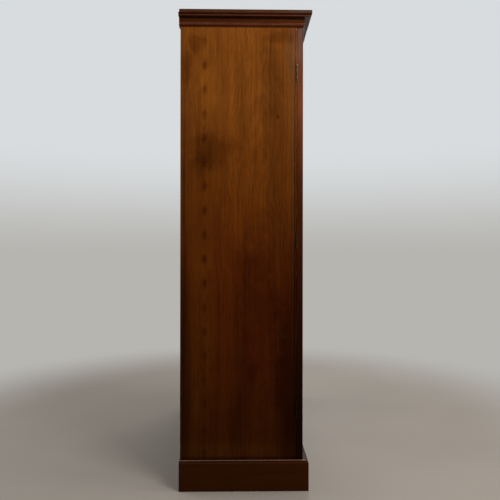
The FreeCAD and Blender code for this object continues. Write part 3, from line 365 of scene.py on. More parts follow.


# polished mahogany, with painted light: paler and more golden high up, deep red-brown towards the floor, as
# if lit from above

mahogany = {
    "paintedLight": ((0.08, (0.25, 0.195, 0.15)), (0.19, (0.30, 0.21, 0.16)), (0.30, (0.36, 0.23, 0.17)),
              (0.40, (0.40, 0.25, 0.20)), (0.50, (0.53, 0.38, 0.32)), (0.61, (0.72, 0.61, 0.48)),
              (0.72, (0.84, 0.79, 0.70)), (0.82, (0.98, 0.99, 1.0)), (0.93, (1.02, 1.04, 1.0))),
    "frontPaintedLight": ((0.06, (0.50, 0.42, 0.40)), (0.40, (0.66, 0.56, 0.54)), (0.75, (0.92, 0.90, 0.90)),
                   (0.95, (1.0, 1.0, 1.0))),
    "full": 1.76,  # the height that the painted light is spread over
    "worn": (0.15, 0.055, 0.022),
    "dust": (0.10, 0.075, 0.06),
    "gloss": (0.13, 0.22),
    "sheenTint": (0.25, 0.08, 0.025),
    "ior": 1.5,
    "wornWide": 0.0012,
    "wornRough": 0.15,
    "dustRough": 0.5,
    "smear": {"detail": 3.0, "scale": 6.0},
    "smearEdge": (0.3, 0.7),
    "bump": (0.35, 0.0004),  # strength and distance
}
grainTurns = {"x": (0, 0, 0), "y": (0, 0, -math.pi / 2), "z": (0, math.pi / 2, 0)}


def woodMaterial(name, axis, offset, pale, dark, stains=(), plugShading=None, pore=0.45, wear=0.7, dust=0.5,
                 gloss=mahogany["gloss"], paintedLight="paintedLight", edgeShadeAndSheen=None):
    made, tree, shader = newMaterial(name)
    place = objectPlace(tree)
    turned = addNode(tree, "ShaderNodeMapping")
    link(tree, place, turned.inputs["Vector"])
    turned.inputs["Rotation"].default_value = grainTurns[axis]
    turned.inputs["Location"].default_value = offset
    grain = useGroup(tree, grainGroup, Along=turned.outputs[0], Pale=pale, Dark=dark, Pore=pore)
    parts = axesOf(tree, place)
    height = maths(tree, "DIVIDE", parts["Z"], mahogany["full"])
    # painted light: the wood darkens towards the floor as if lit from above
    paintedLightTint = ramp(tree, height, mahogany[paintedLight])
    # painted shade and sheen on the hinge stiles' outer edge, darker low down
    if edgeShadeAndSheen:
        outward = spread(tree, maths(tree, "ABSOLUTE", parts["X"]), edgeShadeAndSheen["from"], edgeShadeAndSheen["to"])
        paintedLightTint = mixColor(tree, outward, paintedLightTint, ramp(tree, height, edgeShadeAndSheen["paintedLight"]))
    color = grain["Color"]
    for middle, size, ragged, strength, tint in stains:
        stain = useGroup(tree, stainGroup, Place=place, Middle=middle, Size=size, Ragged=ragged)
        color = mixColor(tree, maths(tree, "MULTIPLY", stain["Mask"], strength), color,
                         tinted(tree, color, tint))
    # painted shade round the plugs in the side panels
    if plugShading:
        plugShadeOut = useGroup(tree, plugShadeGroup, Place=place, **plugShading)
        color = mixColor(tree, plugShadeOut["Mask"], color, tinted(tree, color, sideFinish["plugShadeTint"]))
    worn = useGroup(tree, wearGroup, Place=place, Width=mahogany["wornWide"], Amount=wear)
    color = tinted(tree, mixColor(tree, worn["Mask"], color, mahogany["worn"]), paintedLightTint)
    settled = useGroup(tree, dustGroup, Place=place, Amount=dust)
    link(tree, mixColor(tree, settled["Mask"], color, mahogany["dust"]), shader["Base Color"])
    smear = spread(tree, noise(tree, place, **mahogany["smear"]), *mahogany["smearEdge"], *gloss)
    rough = maths(tree, "ADD", smear, maths(tree, "MULTIPLY", settled["Mask"], mahogany["dustRough"]))
    scuffed = maths(tree, "MULTIPLY", worn["Mask"], mahogany["wornRough"])
    link(tree, maths(tree, "ADD", rough, scuffed), shader["Roughness"])
    shader["IOR"].default_value = mahogany["ior"]
    shader["Specular Tint"].default_value = (*mahogany["sheenTint"], 1)
    link(tree, bumped(tree, grain["Relief"], *mahogany["bump"], worn["Normal"]), shader["Normal"])
    return made


# painted highlights on a moulding's arrises and painted shade in its quirks, as bands across its profile
def lineMoulding(material, across, start, end, bands):
    tree = material.node_tree
    color = tree.nodes["Principled BSDF"].inputs["Base Color"]
    before = color.links[0].from_socket
    reach = vectorMaths(tree, "DOT_PRODUCT", objectPlace(tree), across)
    part = spread(tree, reach, start, end, smooth=False)
    link(tree, tinted(tree, before, ramp(tree, part, bands)), color)


def dress(node, material):
    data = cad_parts[node].data
    data.materials.clear()
    data.materials.append(material)


# sides: one wide board each, with stains, darker and paler patches, painted shade along the foot and painted
# sheen near the front edge
# each mark: its middle and half-size (y, z), raggedness, strength and tint
sideFinish = {
    "pale": (0.166, 0.049, 0.0062),
    "dark": (0.042, 0.0098, 0.0014),
    "plugShadeTint": (0.42, 0.23, 0.32),
    "bothSides": [
        ((-0.148, 1.250), (0.105, 0.750), 0.15, 0.90, (0.70, 0.72, 0.78)),
        ((-0.172, 0.400), (0.062, 0.540), 0.15, 0.90, (0.46, 0.38, 0.40)),
        ((-0.184, 0.500), (0.018, 1.000), 0.10, 0.70, (0.62, 0.66, 0.95)),
        ((-0.155, 0.330), (0.055, 0.280), 0.25, 0.85, (0.52, 0.44, 0.48)),
        ((0.222, 0.440), (0.036, 0.480), 0.15, 0.85, (0.40, 0.43, 0.60)),
        ((0.2255, 0.750), (0.007, 0.900), 0.10, 0.80, (0.45, 0.55, 0.95)),
        # painted shade along the foot of the panel, where it meets the cap
        ((0.000, 0.110), (0.600, 0.014), 0.05, 0.75, (0.50, 0.35, 0.30)),
        # painted highlight: a cool grey line of sheen beside the front quirk
        ((-0.1765, 0.950), (0.003, 1.100), 0.05, 0.60, (1.15, 1.50, 3.40)),
    ],
    "left": [
        ((0.118, 1.250), (0.100, 0.080), 0.40, 0.74, (0.52, 0.44, 0.40)),
        ((0.150, 1.205), (0.065, 0.060), 0.45, 0.40, (0.58, 0.50, 0.46)),
        ((0.155, 1.080), (0.110, 0.240), 0.25, 0.85, (0.76, 0.78, 0.76)),
        ((0.190, 1.640), (0.030, 0.045), 0.70, 0.70, (0.50, 0.43, 0.38)),
        ((0.212, 1.545), (0.022, 0.085), 0.60, 0.65, (0.50, 0.42, 0.38)),
        ((-0.135, 1.675), (0.085, 0.030), 0.55, 0.55, (0.55, 0.48, 0.42)),
        ((0.010, 1.440), (0.036, 0.240), 0.30, 0.50, (0.82, 0.82, 0.80)),
        ((0.140, 1.470), (0.045, 0.140), 0.40, 0.80, (1.28, 1.32, 1.10)),
        ((-0.085, 1.480), (0.050, 0.180), 0.45, 0.80, (0.72, 0.72, 0.74)),
        ((-0.120, 1.378), (0.006, 0.009), 0.30, 0.90, (0.35, 0.28, 0.26)),
        ((-0.030, 0.440), (0.020, 0.050), 0.60, 0.60, (0.55, 0.42, 0.40)),
        ((-0.048, 0.530), (0.110, 0.420), 0.30, 0.85, (0.72, 0.66, 0.72)),
        ((-0.050, 0.590), (0.085, 0.200), 0.45, 0.50, (1.0, 0.76, 0.76)),
        ((0.165, 0.560), (0.060, 0.400), 0.30, 0.70, (1.38, 1.88, 1.14)),
        ((0.033, 0.250), (0.036, 0.130), 0.40, 0.80, (0.70, 0.66, 0.70)),
        ((-0.128, 0.600), (0.030, 0.120), 0.40, 0.80, (0.66, 0.68, 0.90)),
        # painted sheen: a cool grey reflection near the top of the front edge
        ((-0.170, 1.620), (0.024, 0.130), 0.40, 0.70, (0.86, 1.10, 2.40)),
        ((-0.045, 0.900), (0.046, 0.420), 0.35, 0.85, (0.76, 0.76, 0.78)),
        ((-0.025, 0.820), (0.095, 0.080), 0.50, 0.80, (0.78, 0.66, 0.68)),
        ((0.030, 0.135), (0.380, 0.045), 0.20, 0.80, (1.25, 1.50, 1.40)),
    ],
    "right": [
        ((-0.060, 1.390), (0.090, 0.120), 0.45, 0.70, (0.62, 0.55, 0.50)),
        ((0.130, 1.500), (0.070, 0.160), 0.35, 0.70, (1.22, 1.28, 1.05)),
        ((0.020, 0.980), (0.140, 0.260), 0.30, 0.80, (0.80, 0.76, 0.78)),
        ((0.180, 0.640), (0.060, 0.300), 0.30, 0.60, (1.12, 1.36, 1.15)),
        ((0.070, 0.380), (0.100, 0.180), 0.40, 0.70, (0.74, 0.64, 0.66)),
        ((-0.090, 1.120), (0.008, 0.011), 0.30, 0.80, (0.40, 0.32, 0.30)),
    ],
}
plugLow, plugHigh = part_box("peg_hole_plugs")
plugCount = 18
plugRadius = (plugHigh.y - plugLow.y) / 2
stainDrop = 0.006  # painted shade: the dark patches reach further below the plugs
plugShadeSpots = {
    "Row": (plugLow.y + plugHigh.y) / 2,
    "First": plugLow.z + plugRadius - stainDrop,
    "Pitch": (plugHigh.z - plugLow.z - 2 * plugRadius) / (plugCount - 1),
    "Count": float(plugCount),
    "Across": 0.0125,
    "Along": 0.023,
}
markDepth = 0.05
sideOffsets = {"left": (0.0, 0.030, 0.0), "right": (3.1, 1.4, 0.7)}  # each side is cut from its own board
for side, x in (("left", sideX), ("right", -sideX)):
    marks = [((x, *middle), (markDepth, *size), *rest)
             for middle, size, *rest in sideFinish["bothSides"] + sideFinish[side]]
    dress(f"side_panel_{side}", woodMaterial(
        f"side{side.title()}Wood", "z", sideOffsets[side], sideFinish["pale"], sideFinish["dark"], marks,
        plugShadeSpots, wear=0.5, dust=0.0))
print("sides finished")

# marks on the other boards: middle and half-size (x, y, z), raggedness, strength and tint
# damp, scuffs and paler patches on the unpolished back
backMarks = [
    ((0.34, 0.215, 0.16), (0.30, 0.06, 0.10), 0.60, 0.65, (0.58, 0.54, 0.50)),
    ((-0.30, 0.215, 0.12), (0.22, 0.06, 0.06), 0.60, 0.60, (0.62, 0.58, 0.54)),
    ((-0.24, 0.215, 1.18), (0.16, 0.06, 0.26), 0.55, 0.55, (1.28, 1.26, 1.22)),
    ((0.20, 0.215, 0.86), (0.11, 0.06, 0.17), 0.60, 0.50, (0.70, 0.66, 0.62)),
    ((0.42, 0.215, 1.50), (0.16, 0.06, 0.07), 0.60, 0.50, (0.74, 0.70, 0.66)),
    ((-0.47, 0.215, 0.66), (0.05, 0.06, 0.22), 0.60, 0.50, (1.22, 1.20, 1.16)),
]
# painted sheen: a cool grey reflection along the front edge of cornice and top
frontEdgeSheen = [((0.0, -0.200, 1.757), (1.80, 0.060, 0.022), 0.20, 0.90, (0.92, 1.45, 2.7))]
# doors darker where hands and feet reach them
doorMarks = [
    ((0.040, -0.214, 0.800), (0.038, 0.050, 0.110), 0.60, 0.70, (0.56, 0.48, 0.46)),
    ((-0.040, -0.214, 0.830), (0.034, 0.050, 0.200), 0.60, 0.50, (0.70, 0.64, 0.62)),
    ((-0.230, -0.214, 0.145), (0.240, 0.050, 0.036), 0.60, 0.70, (0.62, 0.55, 0.52)),
    ((0.300, -0.214, 0.150), (0.250, 0.050, 0.030), 0.60, 0.70, (0.66, 0.58, 0.55)),
    ((0.565, -0.214, 1.300), (0.030, 0.050, 0.220), 0.50, 0.50, (0.74, 0.70, 0.68)),
    ((-0.300, -0.214, 1.670), (0.200, 0.050, 0.020), 0.60, 0.60, (0.80, 0.76, 0.74)),
    ((0.200, -0.214, 1.660), (0.120, 0.050, 0.024), 0.60, 0.50, (1.22, 1.26, 1.20)),
]
# the polish of the other boards, as woodMaterial takes it
boardFinish = {
    "door": {"pale": (0.178, 0.053, 0.0145), "dark": (0.052, 0.013, 0.0036), "paintedLight": "frontPaintedLight",
             "dust": 0.1, "stains": doorMarks},
    "cornice": {"pale": (0.050, 0.0140, 0.0048), "dark": (0.026, 0.0068, 0.0022), "dust": 0.5,
                "gloss": (0.22, 0.32), "stains": frontEdgeSheen},
    "top": {"pale": (0.044, 0.0160, 0.0070), "dark": (0.022, 0.0076, 0.0032), "dust": 0.85,
            "gloss": (0.30, 0.42), "stains": frontEdgeSheen},
    "plinth": {"pale": (0.112, 0.036, 0.0075), "dark": (0.068, 0.021, 0.0042), "dust": 0.0},
    "cap": {"pale": (0.112, 0.036, 0.0075), "dark": (0.068, 0.021, 0.0042), "dust": 0.0,
            "gloss": (0.45, 0.60)},
    "case": {"pale": (0.280, 0.105, 0.034), "dark": (0.130, 0.042, 0.012), "paintedLight": "frontPaintedLight",
             "dust": 0.15},
    "back": {"pale": (0.170, 0.088, 0.045), "dark": (0.095, 0.046, 0.024), "paintedLight": "frontPaintedLight",
             "dust": 0.2, "gloss": (0.50, 0.65), "pore": 0.7, "stains": backMarks},
}
# painted shade and sheen on a door's outer edge: far darker low down than its face, with a cool grey sheen
# near the top
doorEdgeShadeAndSheen = {
    "from": -sideX - 0.0030,
    "to": -sideX - 0.0005,
    "paintedLight": ((0.08, (0.030, 0.018, 0.018)), (0.22, (0.034, 0.020, 0.018)), (0.33, (0.080, 0.046, 0.036)),
              (0.45, (0.14, 0.09, 0.065)), (0.61, (0.24, 0.17, 0.12)), (0.70, (0.42, 0.34, 0.30)),
              (0.80, (0.68, 0.62, 0.64)), (0.89, (0.63, 0.66, 0.95)), (0.91, (0.64, 0.92, 1.9)),
              (0.945, (0.56, 0.84, 2.0)), (0.967, (0.50, 0.84, 2.5))),
}
# the boards of each finish, and which way their grain runs
boards = {
    "cornice": {"cornice_front": "x", "cornice_left": "y", "cornice_right": "y"},
    "top": {"top_board": "x"},
    "plinth": {"plinth_front": "x", "plinth_left": "y", "plinth_right": "y"},
    "cap": {"plinth_cap_front": "x", "plinth_cap_left": "y", "plinth_cap_right": "y"},
    "case": {"carcass_bottom": "x", "carcass_top": "x", "shelf_1": "x", "shelf_2": "x", "shelf_3": "x",
             "shelf_4": "x"},
    "back": {"back_stile_left": "z", "back_stile_right": "z", "back_muntin": "z", "back_top_rail": "x",
             "back_bottom_rail": "x", "back_panels": "z", "plinth_back": "x", "cornice_back": "x",
             "glue_blocks": "z"},
    "door": {f"door_{side}_{piece}": axis for side in ("left", "right") for piece, axis in (
        ("hinge_stile", "z"), ("meeting_stile", "z"), ("top_rail", "x"), ("bottom_rail", "x"),
        ("glazing_bars", "z"), ("glass_strips", "z"))},
}
grainShift = (0.83, 0.37, 0.59)  # from one board to the next, so no two show the same grain
# painted highlights on the arrises and painted shade in the corners and under them: along the cap from its
# inner edge out and down, up the cornice from its foot
capWays = {"plinth_cap_left": (-1, 0), "plinth_cap_right": (1, 0), "plinth_cap_front": (0, -1)}
capProfile = {
    "reach": 0.032,
    "bands": ((0.0, (0.45, 0.3, 0.3)), (0.20, (0.6, 0.5, 0.5)), (0.25, (4.2, 8.6, 36.0)),
              (0.42, (4.2, 8.6, 36.0)), (0.46, (0.45, 0.4, 0.4)), (0.74, (0.35, 0.28, 0.3)),
              (0.80, (0.8, 0.9, 1.8)), (0.90, (0.85, 0.8, 0.9))),
    "frontBands": ((0.0, (0.4, 0.26, 0.26)), (0.22, (0.5, 0.42, 0.42)), (0.27, (1.3, 2.3, 8.0)),
                   (0.40, (1.3, 2.3, 8.0)), (0.46, (0.4, 0.34, 0.34)), (0.90, (0.6, 0.55, 0.6))),
    "frontShine": 0.12,  # feet have taken the polish off it
}
# painted highlights on the cornice's arrises and painted light and shade up its profile, lifting the frieze
# under the overhang
corniceLightBands = (
    (0.0, (0.85, 0.5, 0.3)), (0.10, (1.0, 0.9, 1.0)), (0.21, (1.0, 0.85, 1.0)), (0.235, (3.6, 4.3, 7.0)),
    (0.315, (3.6, 4.3, 7.0)), (0.34, (0.82, 0.58, 0.32)), (0.46, (0.77, 0.6, 0.31)),
    (0.55, (0.98, 0.94, 0.6)), (0.64, (1.5, 1.6, 1.4)), (0.70, (2.6, 2.8, 2.2)), (0.722, (2.6, 2.8, 2.2)),
    (0.728, (0.8, 0.7, 1.0)), (0.75, (1.1, 1.3, 2.2)), (0.83, (1.1, 1.3, 2.2)), (0.86, (0.55, 0.3, 0.2)),
    (0.97, (0.55, 0.3, 0.2)))
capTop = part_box("plinth_cap_left")[1].z
corniceFoot, corniceTop = (corner.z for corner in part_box("cornice_left"))


def lineCap(node, wood):
    outward = capWays[node]
    inner = -sideX if outward[0] else -caseFront
    start = inner - capTop
    front = node == "plinth_cap_front"
    bands = capProfile["frontBands" if front else "bands"]
    lineMoulding(wood, (*outward, -1), start, start + capProfile["reach"], bands)
    if front:
        shader = wood.node_tree.nodes["Principled BSDF"].inputs
        shader["Specular IOR Level"].default_value = capProfile["frontShine"]


boardCount = 0
for finish, nodes in boards.items():
    for node, axis in nodes.items():
        boardCount += 1
        offset = tuple(shift * boardCount for shift in grainShift)
        wood = woodMaterial(f"{node}Wood", axis, offset, **boardFinish[finish],
                            edgeShadeAndSheen=doorEdgeShadeAndSheen if node.endswith("hinge_stile") else None)
        if finish == "cap":
            lineCap(node, wood)
        if finish == "cornice":
            lineMoulding(wood, (0, 0, 1), corniceFoot, corniceTop, corniceLightBands)
        dress(node, wood)
print("boards finished:", boardCount)


# end-grain plugs, nearly black

plugFinish = {"offset": (5.0, 2.0, 1.0), "pale": (0.052, 0.015, 0.004), "dark": (0.020, 0.0055, 0.0015),
              "gloss": (0.5, 0.6), "wear": 0.0, "dust": 0.0}
dress("peg_hole_plugs", woodMaterial("plugWood", "x", **plugFinish))


# metals and glass

metalWear = {
    "wide": 0.0006,
    "amount": 0.9,
    "tarnish": {"detail": 5.0, "roughness": 0.65},
    "tarnishEdge": (0.32, 0.68),
    "fine": {"detail": 3.0, "roughness": 0.6},
    "finer": 9,  # how much finer than the tarnish the scratches are
    "scratchRough": 0.12,
    "rubbedSmooth": 0.12,
    "bump": (0.25, 0.0002),
}


def metalMaterial(name, bright, dull, roughness, spots, heightShade=None):
    made, tree, shader = newMaterial(name)
    place = objectPlace(tree)
    tarnish = spread(tree, noise(tree, place, scale=spots, **metalWear["tarnish"]), *metalWear["tarnishEdge"])
    fine = noise(tree, place, scale=spots * metalWear["finer"], **metalWear["fine"])
    worn = useGroup(tree, wearGroup, Place=place, Width=metalWear["wide"], Amount=metalWear["amount"])
    color = mixColor(tree, worn["Mask"], mixColor(tree, tarnish, bright, dull), bright)
    if heightShade:  # painted shade: darker lower down the cabinet, as if lit from above
        height = maths(tree, "DIVIDE", axesOf(tree, place)["Z"], mahogany["full"])
        color = tinted(tree, color, ramp(tree, height, heightShade))
    link(tree, color, shader["Base Color"])
    shader["Metallic"].default_value = 1.0
    rough = maths(tree, "ADD", spread(tree, tarnish, 0.0, 1.0, *roughness),
                  maths(tree, "MULTIPLY", fine, metalWear["scratchRough"]))
    rubbed = maths(tree, "MULTIPLY", worn["Mask"], metalWear["rubbedSmooth"])
    link(tree, maths(tree, "SUBTRACT", rough, rubbed), shader["Roughness"])
    link(tree, bumped(tree, fine, *metalWear["bump"], worn["Normal"]), shader["Normal"])
    return made


pane = {
    "ior": 1.36,
    "roughness": 0.0,
    "cast": ((0.35, (0.97, 0.99, 0.98)), (0.7, (0.92, 0.96, 0.94))),
    "castPatch": {"detail": 3.0, "scale": 5.0},
    "waves": {"detail": 1.0, "scale": 7.0},
    "bump": (0.05, 0.002),
    "daylight": (0.90, 0.93, 0.91),
}


def glassMaterial():
    made, tree, shader = newMaterial("sheetGlass")
    place = objectPlace(tree)
    shader["Transmission Weight"].default_value = 1.0
    shader["IOR"].default_value = pane["ior"]
    shader["Roughness"].default_value = pane["roughness"]
    link(tree, ramp(tree, noise(tree, place, **pane["castPatch"]), pane["cast"]), shader["Base Color"])
    link(tree, bumped(tree, noise(tree, place, **pane["waves"]), *pane["bump"]), shader["Normal"])
    # daylight passes through the panes instead of stopping at them
    path = addNode(tree, "ShaderNodeLightPath").outputs
    clear = addNode(tree, "ShaderNodeBsdfTransparent")
    clear.inputs["Color"].default_value = (*pane["daylight"], 1)
    passing = maths(tree, "MAXIMUM", path["Is Shadow Ray"], path["Is Diffuse Ray"])
    solid, surface = shaderEnds(tree)
    link(tree, mixShaders(tree, passing, solid, clear.outputs[0]), surface)
    return made


metalFinish = {
    "darkenedBrass": {"bright": (0.16, 0.105, 0.045), "dull": (0.035, 0.022, 0.011),
                      "roughness": (0.45, 0.65), "spots": 90.0,
                      "heightShade": ((0.2, (0.12, 0.10, 0.10)), (0.5, (0.22, 0.19, 0.18)),
                                 (0.85, (0.8, 0.75, 0.8)))},
    "agedBrass": {"bright": (0.40, 0.26, 0.10), "dull": (0.12, 0.075, 0.030),
                  "roughness": (0.24, 0.50), "spots": 60.0},
    "dullSteel": {"bright": (0.42, 0.41, 0.39), "dull": (0.13, 0.115, 0.10),
                  "roughness": (0.30, 0.58), "spots": 70.0},
}
hingeBrass, brass, steel = (metalMaterial(name, **finish) for name, finish in metalFinish.items())
glass = glassMaterial()
for node in ("shelf_pegs", "hinge_screws_case", "hinge_screws_left_door", "hinge_screws_right_door",
             "bolt_cases", "bottom_bolt", "top_bolt", "bolt_keeps", "strike_plate", "lock_cap", "lock_bolt",
             "escutcheon"):
    dress(node, brass)
for node in ("hinge_jamb_leaves", "hinge_pins", "door_left_hinge_leaves", "door_right_hinge_leaves"):
    dress(node, hingeBrass)
for node in ("lock_case", "key"):
    dress(node, steel)
for side in ("left", "right"):
    dress(f"door_{side}_glass", glass)
print("metals and glass finished")


# small pieces that the construction leaves out, modelled by hand

weldGap = 0.00002


def startFresh():
    if bpy.context.mode != "OBJECT":
        bpy.ops.object.mode_set(mode="OBJECT")
    bpy.ops.object.select_all(action="DESELECT")


def pick(*pieces):
    startFresh()
    for piece in pieces:
        piece.select_set(True)
    bpy.context.view_layer.objects.active = pieces[0]


def editAll():
    bpy.ops.object.mode_set(mode="EDIT")
    bpy.ops.mesh.select_all(action="SELECT")


def selectFaces(piece, wanted):
    bpy.ops.mesh.select_mode(type="FACE")
    bpy.ops.mesh.select_all(action="DESELECT")
    bpy.ops.object.mode_set(mode="OBJECT")
    for face in piece.data.polygons:
        face.select = wanted(face)
    bpy.ops.object.mode_set(mode="EDIT")


def settle(piece, body, material, smooth):
    pick(piece)
    bpy.ops.object.transform_apply(location=True, rotation=True, scale=True)
    editAll()
    bpy.ops.mesh.remove_doubles(threshold=weldGap)
    bpy.ops.mesh.normals_make_consistent(inside=False)
    bpy.ops.object.mode_set(mode="OBJECT")
    bpy.ops.object.shade_smooth_by_angle(angle=math.radians(smooth))
    piece.data.materials.clear()
    piece.data.materials.append(material)
    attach(piece, body)


screwHead = {
    "sides": 28,
    "radius": 0.0030,
    "deep": 0.0008,
    "dome": 0.0002,
    "steps": ((0.14, 0.7), (0.25, 0.3)),  # insets as shares of the radius, lifts as shares of the dome
    "slotWide": 0.0007,
    "slotDeep": 0.0005,
    "smooth": 35,
}


def modelScrew():
    startFresh()
    bpy.ops.mesh.primitive_cylinder_add(vertices=screwHead["sides"], radius=screwHead["radius"],
                                        depth=screwHead["deep"], location=(0, 0, -screwHead["deep"] / 2))
    screw = bpy.context.active_object
    screw.name = "screwPattern"
    bpy.ops.object.transform_apply(location=True)
    bpy.ops.object.mode_set(mode="EDIT")
    selectFaces(screw, lambda face: face.normal.z > 0.9)
    for inset, lift in screwHead["steps"]:
        bpy.ops.mesh.inset(thickness=screwHead["radius"] * inset)
        bpy.ops.transform.translate(value=(0, 0, screwHead["dome"] * lift))
    startFresh()
    bpy.ops.mesh.primitive_cube_add(size=1, location=(0, 0, screwHead["dome"]))
    slotCutter = bpy.context.active_object
    # longer than the head is wide, and twice the slot's depth because half of it lies above the dome
    slotCutter.scale = (screwHead["radius"] * 3, screwHead["slotWide"], screwHead["slotDeep"] * 2)
    bpy.ops.object.transform_apply(scale=True)
    pick(screw)
    cutting = screw.modifiers.new("slot", "BOOLEAN")
    cutting.operation = "DIFFERENCE"
    cutting.solver = "EXACT"
    cutting.object = slotCutter
    bpy.ops.object.modifier_apply(modifier=cutting.name)
    bpy.data.objects.remove(slotCutter)
    return screw


# each place: point, the way the head faces, and the turn of its slot in degrees
def setScrews(name, places, size, body, material):
    made = []
    for point, facing, turn in places:
        pick(pattern)
        bpy.ops.object.duplicate()
        head = bpy.context.active_object
        aim = Vector(facing).to_track_quat("Z", "Y").to_matrix().to_4x4()
        head.matrix_world = (Matrix.Translation(point) @ aim @ Matrix.Rotation(math.radians(turn), 4, "Z")
                             @ Matrix.Scale(size, 4))
        made.append(head)
    pick(*made)
    bpy.ops.object.join()
    made[0].name = name
    settle(made[0], body, material, screwHead["smooth"])
    print("screws set:", name, len(places))


def cornersOf(low, high, margin):
    return [(a, b) for a in (low[0] + margin, high[0] - margin) for b in (low[1] + margin, high[1] - margin)]


pattern = modelScrew()
screwTurns = (12, 74, 38, 151, 103, 169, 57, 127)

lockLow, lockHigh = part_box("lock_cap")
lockScrews = {"margin": 0.0048, "size": 0.85}
corners = cornersOf((lockLow.x, lockLow.z), (lockHigh.x, lockHigh.z), lockScrews["margin"])
setScrews("lock_cap_screws",
          [((x, lockHigh.y, z), (0, 1, 0), turn) for (x, z), turn in zip(corners, screwTurns)],
          lockScrews["size"], "door_right", brass)

strikeLow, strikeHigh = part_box("strike_plate")
strikeScrews = {"fromEnd": 0.005, "size": 0.8, "turns": (20, 110)}
strikeY = (strikeLow.y + strikeHigh.y) / 2
strikeEnds = (strikeLow.z + strikeScrews["fromEnd"], strikeHigh.z - strikeScrews["fromEnd"])
setScrews("strike_plate_screws",
          [((strikeHigh.x, strikeY, z), (1, 0, 0), turn)
           for z, turn in zip(strikeEnds, strikeScrews["turns"])],
          strikeScrews["size"], "door_left", brass)

casesLow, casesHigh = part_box("bolt_cases")
boltX = (casesLow.x + casesHigh.x) / 2
boltPlate = {"half": 0.0088, "ends": 0.0055, "long": 0.050, "thick": 0.0015, "size": 0.78}
boltPlaces = []
for foot in (casesLow.z, casesHigh.z - boltPlate["long"]):
    for x in (boltX - boltPlate["half"], boltX + boltPlate["half"]):
        for z in (foot + boltPlate["ends"], foot + boltPlate["long"] - boltPlate["ends"]):
            boltPlaces.append((x, doorBack + boltPlate["thick"], z))
plateScrews = [(point, (0, 1, 0), turn) for point, turn in zip(boltPlaces, screwTurns)]
setScrews("bolt_case_screws", plateScrews, boltPlate["size"], "door_left", brass)

keepsLow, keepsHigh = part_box("bolt_keeps")
caseBottomLow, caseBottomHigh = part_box("carcass_bottom")
caseTopLow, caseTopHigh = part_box("carcass_top")
keepScrews = {"fromEnd": 0.0030, "size": 0.62, "turns": (35, 80)}
keepY = (keepsLow.y + keepsHigh.y) / 2
keepEnds = (keepsLow.x + keepScrews["fromEnd"], keepsHigh.x - keepScrews["fromEnd"])
setScrews("bolt_keep_screws",
          [((x, keepY, z), (0, 0, way), turn) for z, way in ((caseBottomHigh.z, 1), (caseTopLow.z, -1))
           for x, turn in zip(keepEnds, keepScrews["turns"])],
          keepScrews["size"], "case", brass)

# screws that hold the framed back in the rebates of the case
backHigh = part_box("back_stile_right")[1]
backScrews = {"size": 1.35, "fromEdge": 0.005, "fromEnd": 0.04, "sideRows": 6,
              "topPlaces": (-0.45, -0.15, 0.15, 0.45), "turnOn": 7}
backRise = caseTopHigh.z - caseBottomLow.z - 2 * backScrews["fromEnd"]
backPlaces = []
for side in (-1, 1):
    for row in range(backScrews["sideRows"]):
        z = caseBottomLow.z + backScrews["fromEnd"] + row * backRise / (backScrews["sideRows"] - 1)
        backPlaces.append((side * (backHigh.x - backScrews["fromEdge"]), z))
for x in backScrews["topPlaces"]:
    backPlaces += [(x, (caseTopLow.z + caseTopHigh.z) / 2), (x, (caseBottomLow.z + caseBottomHigh.z) / 2)]
backTurns = [screwTurns[k % len(screwTurns)] + backScrews["turnOn"] * k for k in range(len(backPlaces))]
setScrews("back_screws",
          [((x, backHigh.y, z), (0, 1, 0), turn) for (x, z), turn in zip(backPlaces, backTurns)],
          backScrews["size"], "case", steel)
bpy.data.objects.remove(pattern)

# half-round bead down the meeting edge of the right door
meetingLow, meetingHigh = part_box("door_right_meeting_stile")
meetingBead = {"radius": 0.0032, "sides": 32, "smooth": 40}


def modelMeetingBead():
    startFresh()
    bpy.ops.mesh.primitive_circle_add(
        vertices=meetingBead["sides"], radius=meetingBead["radius"], fill_type="NGON",
        location=(meetingLow.x + meetingBead["radius"], meetingLow.y, meetingLow.z))
    bead = bpy.context.active_object
    bead.name = "door_right_meeting_bead"
    bpy.ops.object.transform_apply(location=True)
    editAll()
    bpy.ops.mesh.extrude_region_move(TRANSFORM_OT_translate={"value": (0, 0, meetingHigh.z - meetingLow.z)})
    bpy.ops.mesh.select_all(action="SELECT")
    bpy.ops.mesh.bisect(plane_co=(0, meetingLow.y, 0), plane_no=(0, 1, 0), clear_outer=True, use_fill=True)
    settle(bead, "door_right", bpy.data.materials["door_right_meeting_stileWood"],
           meetingBead["smooth"])


# round-headed pins of the keyhole plate, and the turned collar of the key
plateLow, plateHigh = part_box("escutcheon")
plateX = (plateLow.x + plateHigh.x) / 2
pinHead = {"radius": 0.0011, "high": 0.0007, "fromEnd": 0.0030, "sunk": 0.0002, "segments": 20, "rings": 10,
           "smooth": 50}
# the collar's profile: how far along the shank, and its radius there
keyCollar = {
    "profile": ((0.0, 0.0018), (0.0004, 0.0030), (0.0009, 0.0034), (0.0014, 0.0030), (0.0018, 0.0022),
                (0.0024, 0.0022), (0.0027, 0.0027), (0.0031, 0.0027), (0.0034, 0.0018)),
    "offPlate": 0.0012,
    "high": 0.800,  # of the shank, above the floor
    "sides": 36,
    "smooth": 30,
}


